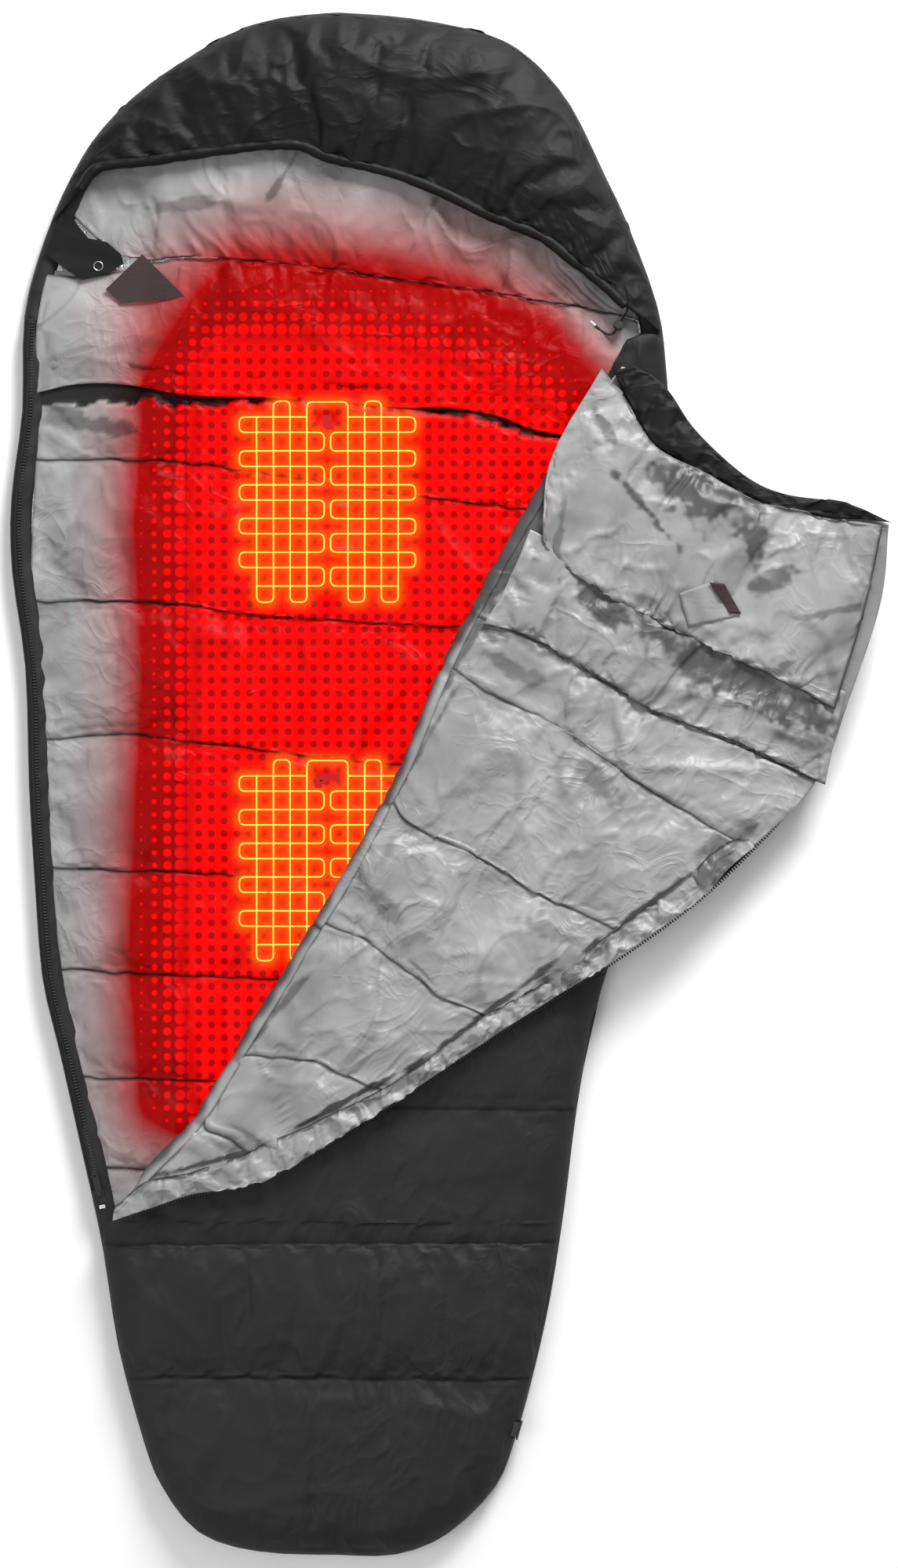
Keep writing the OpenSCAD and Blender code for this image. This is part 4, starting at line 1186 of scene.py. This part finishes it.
# Lining of the folded-back panel
flapLining = {
    "name": "flapLining", "body": "flap", "slot": "lining_cloth", "replaces": ["flap_lining", "flap_fill"],
    "curves": [
        flapRow(0.566, [(0.405, 0.560), (0.43, 0.548), (0.453, 0.525), (0.488, 0.474), (0.552, 0.416),
                        (0.607, 0.390), (0.692, 0.377), (0.748, 0.352)]),
        flapRow(0.455, [(0.360, 0.425), (0.450, 0.360), (0.580, 0.300), (0.660, 0.262), (0.737, 0.247)]),
        flapRow(0.345, [(0.286, 0.310), (0.375, 0.255), (0.490, 0.195), (0.693, 0.112)]),
        flapRow(0.228, [(0.256, 0.200), (0.306, 0.174), (0.428, 0.100), (0.543, 0.054), (0.650, 0.004)]),
        flapRow(0.160, [(0.187, 0.136), (0.225, 0.112), (0.287, 0.085), (0.351, 0.043), (0.409, 0.0),
                        (0.466, -0.034), (0.561, -0.088)]),
        flapRow(-0.022, [(0.095, -0.052), (0.145, -0.077), (0.184, -0.095), (0.251, -0.137),
                         (0.308, -0.165), (0.410, -0.212)]),
        flapRow(-0.188, [(0.007, -0.198), (0.046, -0.217), (0.099, -0.256), (0.145, -0.29),
                         (0.230, -0.326)]),
        flapRow(-0.366, [(-0.097, -0.369), (-0.034, -0.377), (0.0, -0.391), (0.075, -0.422)]),
        flapRow(-0.450, [(-0.176, -0.468), (-0.143, -0.484), (-0.105, -0.512)]),
        flapRow(-0.560, [(-0.276, -0.562), (-0.262, -0.566)])],
    "rows": [12, 10, 12, 12, 22, 22, 20, 12, 14], "cols": 81, "seams": [3, 4, 5, 6, 7, 8],
    "low": 0.0640, "high": 0.0790, "under": 0.0605, "seed": 131, "folds": 1.5, "foldShade": 0.3,
    "shade": [(0.262, 0.345, 0.130, 0.024, 60, 0.80), (0.165, 0.170, 0.090, 0.007, 60, 0.6),
              (0.075, -0.020, 0.16, 0.004, 60, 0.6),
              (0.215, 0.205, 0.045, 0.012, -20, 0.45), (-0.105, -0.335, 0.12, 0.006, 50, 0.6),
              (0.300, -0.205, 0.05, 0.010, -20, 0.4),
              (0.530, -0.085, 0.05, 0.018, 30, 0.6), (0.430, -0.158, 0.17, 0.0055, 36, 0.9),
              (0.200, -0.312, 0.15, 0.005, 37, 0.9),
              (0.0, -0.436, 0.12, 0.0045, 28, 0.9), (-0.170, -0.512, 0.09, 0.004, 14, 0.9),
              (0.330, 0.020, 0.05, 0.014, -35, 0.45),
              (0.250, 0.150, 0.05, 0.010, -30, 0.5), (0.06, -0.16, 0.05, 0.010, -50, 0.45)],
    "cloth": {"pressure": 3.0, "grow": 0.07}}


def flapLiningShape(grid):
    # Pressed flat under the collar and its facing
    out = grid.copy()
    covered = np.interp(grid[..., 0], [0.20, 0.256, 0.306, 0.428, 0.543, 0.66],
                        [0.215, 0.200, 0.174, 0.100, 0.054, 0.0])
    press = smoothStep((grid[..., 1] - covered) / 0.02)
    out[..., 2] = out[..., 2] * (1 - press) + np.minimum(out[..., 2], 0.0640) * press
    return out


flapGrid, flapSeams = quiltPiece(flapLining, cloths["liningCloth"], flapLiningShape)[1:]


# Shell cloth of the folded-back panel, which faces down until the panel is closed
def makeFlapShell(grid):
    rise = np.clip((grid[..., 2] - flapLining["low"]) / (flapLining["high"] - flapLining["low"]), -0.2, 1)
    down, up = grid.copy(), grid.copy()
    down[..., 2] = 0.0580 - 0.0065 * rise
    up[..., 2] = 0.0600
    piece = closedPad("flapShell", down, up, cloths["shellCloth"], skip=8)
    piece.data.flip_normals()
    return piece


flapShell = makeFlapShell(flapGrid)
setAttribute(flapShell, "seam", seamValues(flapGrid, flapSeams))
dress(flapShell, "flap", ["flap_shell"])

draftTube = {
    "name": "draftTube", "body": "flap", "slot": "lining_cloth", "replaces": ["flap_draft_tube"],
    "curves": [
        [(-0.300, -0.572), (-0.257, -0.540), (-0.195, -0.524), (-0.124, -0.500), (0.067, -0.410),
         (0.198, -0.316), (0.315, -0.248),
         (0.378, -0.196), (0.456, -0.141), (0.523, -0.082), (0.556, -0.074)],
        [(-0.303, -0.583), (-0.250, -0.553), (-0.195, -0.541), (-0.11, -0.516), (0.067, -0.424),
         (0.208, -0.326), (0.308, -0.267),
         (0.382, -0.214), (0.474, -0.148), (0.528, -0.096), (0.561, -0.079)],
        [(-0.304, -0.592), (-0.250, -0.574), (-0.195, -0.556), (-0.092, -0.5335), (0.067, -0.438),
         (0.219, -0.3375), (0.300, -0.286),
         (0.3855, -0.233), (0.492, -0.155), (0.533, -0.112), (0.566, -0.085)]],
    "rows": [7, 7], "cols": 201, "seams": [0], "seamReach": 0.0040, "low": 0.0690, "high": 0.0800,
    "under": 0.0655, "seed": 151, "folds": 1.3, "foldShade": 0.3,
    "shade": [(0.520, -0.100, 0.060, 0.022, 40, 0.62), (0.330, -0.245, 0.09, 0.010, 38, 0.55),
              (0.10, -0.400, 0.10, 0.006, 27, 0.5)],
    "cloth": {"pressure": 2.6, "grow": 0.08}}
quiltPiece(draftTube, cloths["liningCloth"])

flapCollar = {
    "name": "flapCollar", "body": "flap", "slot": "lining_cloth", "replaces": ["flap_collar"],
    "curves": [
        [(0.358, 0.562), (0.386, 0.531), (0.410, 0.488), (0.437, 0.454), (0.514, 0.413), (0.570, 0.383),
         (0.655, 0.362), (0.739, 0.350)],
        [(0.290, 0.440), (0.340, 0.415), (0.400, 0.375), (0.480, 0.325), (0.580, 0.285), (0.714, 0.235)],
        [(0.278, 0.334), (0.300, 0.300), (0.375, 0.250), (0.490, 0.193), (0.580, 0.150), (0.674, 0.102)]],
    "rows": [22, 22], "cols": 101, "seams": [0, 2], "seamReach": 0.0040, "low": 0.0745, "high": 0.0870,
    "under": 0.0705, "seed": 171, "folds": 1.9, "foldShade": 0.3,
    "shade": [(0.407, 0.384, 0.072, 0.008, -51, 0.80), (0.500, 0.383, 0.088, 0.036, -24, 0.76),
              (0.567, 0.327, 0.036, 0.016, 80, 0.76),
              (0.586, 0.276, 0.032, 0.014, 25, 0.68), (0.366, 0.478, 0.030, 0.007, -60, 0.6),
              (0.680, 0.235, 0.05, 0.006, 10, 0.5),
              (0.300, 0.335, 0.06, 0.006, 80, 0.5)],
    "cloth": {"pressure": 3.0, "grow": 0.09}}


def sideSeam(grid):
    # Dark stitching along a piece's right-hand end
    away = np.linalg.norm(grid[..., :2] - grid[:, -1:, :2], axis=2)
    return np.exp(-(away / 0.0035) ** 2)


flapCollarGrid = quiltPiece(flapCollar, cloths["liningCloth"], dark=sideSeam)[1]

collarFacing = {
    "name": "collarFacing", "body": "flap", "slot": "lining_cloth", "replaces": ["collar_facing"],
    "curves": [
        [(0.262, 0.345), (0.300, 0.325), (0.375, 0.275), (0.490, 0.215), (0.690, 0.125)],
        [(0.226, 0.262), (0.330, 0.225), (0.440, 0.160), (0.560, 0.105), (0.674, 0.060)],
        [(0.198, 0.216), (0.256, 0.201), (0.306, 0.175), (0.428, 0.101), (0.543, 0.055), (0.661, -0.002)]],
    "rows": [10, 14], "cols": 111, "seams": [2], "seamReach": 0.0035, "low": 0.0682, "high": 0.0780,
    "under": 0.0655, "seed": 191, "folds": 1.7, "foldShade": 0.3,
    "shade": [(0.548, 0.140, 0.125, 0.032, -27, 0.78), (0.372, 0.236, 0.100, 0.024, -28, 0.76),
              (0.640, 0.055, 0.040, 0.014, -25, 0.5)],
    "cloth": {"pressure": 3.0, "grow": 0.09}}
quiltPiece(collarFacing, cloths["liningCloth"])

neckBand = {
    "name": "neckBand", "body": "flap", "slot": "shell_cloth", "replaces": ["neck_band"],
    "curves": [
        [(0.375, 0.560), (0.386, 0.533), (0.410, 0.489), (0.437, 0.455), (0.514, 0.414), (0.570, 0.384),
         (0.655, 0.363), (0.722, 0.358)],
        [(0.402, 0.567), (0.430, 0.551), (0.452, 0.529), (0.487, 0.478), (0.551, 0.419), (0.606, 0.393),
         (0.691, 0.380), (0.751, 0.354)]],
    "rows": [12], "cols": 101, "seams": [], "low": 0.0700, "high": 0.0790, "under": 0.0675, "seed": 211,
    "folds": 0.5,
    "cloth": {"pressure": 2.0, "grow": 0.03}}
quiltPiece(neckBand, cloths["hoodCloth"])
print("folded panel made")

# The fold itself: lining cloth that runs from the closed front panel round the crease to the folded panel
foldRoll = {"stations": 190, "turnsOver": 0.0165, "outer": 0.0155, "inner": 0.0045, "pinch": 0.18,
            "seed": 231, "shade": 0.85, "outerPoints": 17, "innerPoints": 9, "start": -0.575, "end": 0.566,
            "seams": [0.230, 0.160, -0.022, -0.188, -0.366, -0.450]}


def makeFoldRoll(look):
    # Half rings about the crease, thinner at the seams and rippled between them
    y = np.linspace(look["start"], look["end"], look["stations"])
    x = np.interp(y, creaseEdge[:, 0], creaseEdge[:, 1])
    line = spreadAlong(np.stack([x, y], axis=1)[::6].tolist() + [(x[-1], y[-1])], look["stations"])
    u = np.gradient(line, axis=0)
    u /= np.linalg.norm(u, axis=1)[:, None]
    right = np.stack([u[:, 1], -u[:, 0]], axis=1)
    ripple = 1 + 0.10 * softNoise(line, 0.012, look["seed"]) + 0.07 * softNoise(line, 0.045,
        look["seed"] + 1)
    for seamY in look["seams"]:
        ripple -= look["pinch"] * np.exp(-((line[:, 1] - seamY) / 0.006) ** 2)
    many, few = look["outerPoints"], look["innerPoints"]
    turn = np.radians(np.concatenate([np.linspace(-90, -270, many), np.linspace(-270, -90, few)]))
    size = np.concatenate([np.full(many, look["outer"]), np.full(few, look["inner"])])
    ends = np.minimum(1, 0.25 + 12 * np.minimum(np.linspace(0, 1, len(line)), np.linspace(1, 0, len(line))))
    reach = size[None] * np.where(size[None] > look["inner"], ripple[:, None], 1) * ends[:, None]
    across = np.cos(turn)[None] * reach + look["outer"]
    up = foldHeight + np.sin(turn)[None] * reach * 0.93
    rings = np.concatenate([line[:, None] + right[:, None] * across[..., None], up[..., None]], axis=2)
    piece = faceOut(tubePiece("foldRoll", rings, cloths["liningCloth"]))
    # The inside of the fold is shell cloth, which shows once the panel is closed
    piece.data.materials.append(cloths["shellCloth"])
    sides = rings.shape[1]
    for face in piece.data.polygons[:(len(line) - 1) * sides]:
        face.material_index = int(face.index % sides >= many - 1)
    seam = np.max([np.exp(-((line[:, 1] - seamY) / 0.0035) ** 2) for seamY in look["seams"]], axis=0)
    # The side of the bend towards the body is in shadow, with a ragged edge, more so near the neck
    ragged = 0.25 * softNoise(line, 0.02, look["seed"] + 4) + 0.2 * softNoise(line, 0.07, look["seed"] + 5)
    wide = np.interp(line[:, 1], [-0.6, 0.15, 0.25, 0.45, 0.55], [0.5, 0.55, 1.3, 1.3, 0.5])
    low = smoothStep(1.3 * ((wide + ragged)[:, None] - across / look["outer"]) + 0.4)
    low = np.maximum(low, up < foldHeight)
    dark = np.maximum(seam[:, None], look["shade"] * low)
    setAttribute(piece, "seam", dark.reshape(-1))
    return piece


foldPiece = makeFoldRoll(foldRoll)
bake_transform(foldPiece)
print("fold made")

# Loop patch on the collar, with a corner of cloth folded over beside it
loopPatch = {
    "corners": [(0.463, 0.258), (0.508, 0.274), (0.546, 0.228), (0.476, 0.213)],
    "fold": [(0.503, 0.2725), (0.524, 0.2705), (0.547, 0.230), (0.531, 0.231)],
    "thick": 0.0010, "lift": 0.0004, "foldThick": 0.0008, "foldLift": 0.0034, "cells": 13}


def layPatch(name, corners, lift, thick, material, tree):
    # A thin flat piece between four corners that follows the surface below it
    a, b, c, d = (np.array(p) for p in corners)
    steps = np.linspace(0, 1, loopPatch["cells"])
    s, t = (w[..., None] for w in np.meshgrid(steps, steps, indexing="ij"))
    flat = (1 - s) * (1 - t) * a + s * (1 - t) * b + s * t * c + (1 - s) * t * d
    height = layOn(tree, flat.reshape(-1, 2), lift, 0.082).reshape(flat.shape[:2])
    height = np.maximum(height, height.mean() - 0.0015)
    top = np.dstack([flat, height + thick])
    low = np.dstack([flat, height])
    return closedPad(name, top, low, material, skip=1)


flapCollarTree = surfaceUnder(flapCollarGrid)
patchPiece = layPatch("loopPatch", loopPatch["corners"], loopPatch["lift"], loopPatch["thick"],
                      cloths["loopCloth"], flapCollarTree)
dress(patchPiece, "flap", ["loop_patch"])
patchFold = layPatch("patchFold", loopPatch["fold"], loopPatch["foldLift"], loopPatch["foldThick"],
                     cloths["hookCloth"], flapCollarTree)
dress(patchFold, "flap", [])

# Zips: a woven tape and a row of moulded teeth on each side
zipLook = {"pitch": 0.0042, "tooth": (0.0015, 0.0024, 0.0011), "tapeWide": 0.012, "tapeThick": 0.0007,
           "steps": 320,
           "body": {"tapeIn": 0.0085, "tapeUp": 0.0218, "teethIn": 0.0130, "teethUp": 0.0230},
           "flap": {"tapeIn": -0.0055, "tapeUp": 0.06025, "teethIn": 0.0020, "teethUp": 0.0618}}


def offsetLine(line, inset):
    # The line moved to its right by the inset
    u = np.gradient(line, axis=0)
    u /= np.linalg.norm(u, axis=1)[:, None]
    return line + np.stack([u[:, 1], -u[:, 0]], axis=1) * inset


def makeTape(name, line, heights, body, node):
    # Flat ribbon along a line, thick enough to be solid
    half, thick = zipLook["tapeWide"] / 2, zipLook["tapeThick"] / 2
    corners = [(-half, -thick), (half, -thick), (half, thick), (-half, thick)]
    rings = np.stack([np.column_stack([offsetLine(line, a), heights + b]) for a, b in corners], axis=1)
    piece = faceOut(tubePiece(name, rings, cloths["zipCloth"]))
    dress(piece, body, [node])


def makeTeeth(name, line, heights, body, node):
    # One small rounded block for every pitch along the line, all in one mesh
    run = np.concatenate([[0], np.cumsum(np.linalg.norm(np.diff(line, axis=0), axis=1))])
    at = np.arange(0.004, run[-1] - 0.004, zipLook["pitch"])
    place = np.column_stack([np.interp(at, run, line[:, k]) for k in range(2)]
                            + [np.interp(at, run, heights)])
    u = np.column_stack([np.interp(at, run, np.gradient(line[:, k], run)) for k in range(2)])
    u /= np.linalg.norm(u, axis=1)[:, None]
    right = np.stack([u[:, 1], -u[:, 0]], axis=1)
    a, b, c = zipLook["tooth"]
    profile = np.array([(-a, -b), (a, -b), (a * 0.6, b), (-a * 0.6, b)])
    layers = []
    for up, size in ((-c, 1.0), (c * 0.5, 1.0), (c, 0.6)):
        p = place[:, None, :].repeat(4, axis=1)
        p[..., :2] += u[:, None] * profile[None, :, 0, None] * size + right[:, None] * profile[None, :, 1,
            None] * size
        p[..., 2] += up
        layers.append(p)
    points = np.concatenate(layers, axis=1)
    faces = [(3, 2, 1, 0), (8, 9, 10, 11)]
    faces += [(k + m * 4, (k + 1) % 4 + m * 4, (k + 1) % 4 + 4 + m * 4,
               k + 4 + m * 4) for m in range(2) for k in range(4)]
    allFaces = (np.arange(len(at))[:, None, None] * 12 + np.array(faces)[None]).reshape(-1, 4)
    piece = faceOut(makePiece(name, points, allFaces, plains["blackPlastic"], smooth=False))
    dress(piece, body, [node])


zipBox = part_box("zip_teeth_body")
zipY = np.linspace(zipBox[0][1] + 0.004, zipBox[1][1] - 0.004, zipLook["steps"])
zipLine = np.column_stack([[leftX(y) for y in zipY], zipY])
flapZipLine = spreadAlong([(-0.284, -0.584), (-0.195, -0.556), (-0.092, -0.533), (0.067, -0.437),
                           (0.219, -0.337), (0.386, -0.232),
                           (0.492, -0.154), (0.564, -0.086), (0.603, -0.044), (0.640, 0.006)],
                           zipLook["steps"])
for side, line, body in (("body", zipLine, "root"), ("flap", flapZipLine, "flap")):
    given, label = zipLook[side], side.title()
    makeTape("zipTape" + label, offsetLine(line, given["tapeIn"]),
             np.full(zipLook["steps"], given["tapeUp"]),
             body, "zip_tape_" + side)
    makeTeeth("zipTeeth" + label, offsetLine(line, given["teethIn"]),
              np.full(zipLook["steps"], given["teethUp"]),
              body, "zip_teeth_" + side)
print("zips made")

# Free end of the drawcord, through its lock: distance along the fold past the neck, to its right, and height
drawcord = {
    "diameter": 0.003,
    "route": [(94.6, -36.6, 37.5), (94.2, -33.4, 37.3), (92.8, -30.6, 36.2), (90.6, -28.8, 34),
              (88, -28.1, 31.2),
              (85, -28, 28.8), (82, -28, 27.7), (79, -28, 27.4), (66, -28, 27.4), (55, -28, 27.4),
              (51.5, -29.2, 26.4),
              (49, -32.5, 24.4), (48, -37.5, 22.9), (48, -43.5, 22.5), (48.8, -49.5, 22.5),
              (50, -55, 22.5)]}
cordFoldTop = np.array([0.373, 0.554])
route = np.array(drawcord["route"]) / 1000
cordPath = np.column_stack([cordFoldTop + route[:, :1] * foldAlong + route[:, 1:2] * foldRight,
                            route[:, 2]])
cordCurve = bpy.data.curves.new("drawcordEnd", "CURVE")
cordCurve.dimensions = "3D"
cordCurve.bevel_depth = drawcord["diameter"] / 2
cordCurve.bevel_resolution = 4
cordCurve.use_fill_caps = True
cordPoints = spreadAlong(cordPath.tolist(), 60)
spline = cordCurve.splines.new("POLY")
spline.points.add(len(cordPoints) - 1)
spline.points.foreach_set("co", np.column_stack([cordPoints, np.ones(len(cordPoints))]).ravel())
cordCurve.materials.append(cloths["cordCloth"])
cordPiece = bpy.data.objects.new("drawcordEnd", cordCurve)
scene.collection.objects.link(cordPiece)
dress(cordPiece, "root", ["drawcord_end"])


# Floor, light and what is left of the CAD model

floorLook = {"half": 7.0, "drop": 0.0005, "colour": (0.93, 0.93, 0.93)}
floorPoints = [(a * floorLook["half"], b * floorLook["half"], -floorLook["drop"]) for a,
               b in ((-1, -1), (1, -1), (1, 1), (-1, 1))]
floorMaterial, floorTree, floorShader = startMaterial("paleFloor", {"roughness": 0.9, "gloss": 0.1})
floorShader.inputs["Base Color"].default_value = (*floorLook["colour"], 1)
floor = makePiece("floor", floorPoints, [(0, 1, 2, 3)], floorMaterial)

nodeMaterials = {
    "shell_cloth": cloths["shellCloth"], "hood_cloth": cloths["hoodCloth"],
    "lining_cloth": cloths["liningCloth"],
    "fibre_fill": cloths["fillCloth"], "foil": plains["foil"], "infrared_film": plains["infraredFilm"],
    "heating_wire": glowingWire, "terminal_plastic": plains["terminalPlastic"],
    "black_plastic": plains["blackPlastic"], "zip_tape": cloths["zipCloth"],
    "zip_metal": plains["blackMetal"],
    "bright_metal": plains["brightMetal"], "contact_brass": plains["brass"],
    "spring_steel": plains["brightMetal"],
    "hook_tape": cloths["hookCloth"], "loop_cloth": cloths["loopCloth"], "drawcord": cloths["cordCloth"],
    "cable": plains["cableRubber"], "cord_end": plains["cordEnd"]}
slotOf = {part["node"]: part["material_slot"] for part in frame["record"]["subparts"]}
for nodeName, node in nodes.items():
    node.data.materials.clear()
    node.data.materials.append(nodeMaterials["hood_cloth" if nodeName == "tab_base" else slotOf[nodeName]])

lightLook = {
    "key": {"at": (1.5, 3.6, 2.2), "size": 1.6, "watts": 300.0},
    "fill": {"at": (-2.4, -1.4, 3.6), "size": 3.5, "watts": 70.0},
    "world": 0.42}
for lightName in ("key", "fill"):
    given = lightLook[lightName]
    lamp = bpy.data.lights.new(lightName, "AREA")
    lamp.size, lamp.energy = given["size"], given["watts"]
    lampObject = bpy.data.objects.new(lightName, lamp)
    lampObject.location = given["at"]
    lampObject.rotation_euler = (-Vector(given["at"])).to_track_quat("-Z", "Y").to_euler()
    scene.collection.objects.link(lampObject)
world = bpy.data.worlds.new("studio")
world.use_nodes = True
world.node_tree.nodes["Background"].inputs["Color"].default_value = (1, 1, 1, 1)
world.node_tree.nodes["Background"].inputs["Strength"].default_value = lightLook["world"]
scene.world = world

print("scene finished")
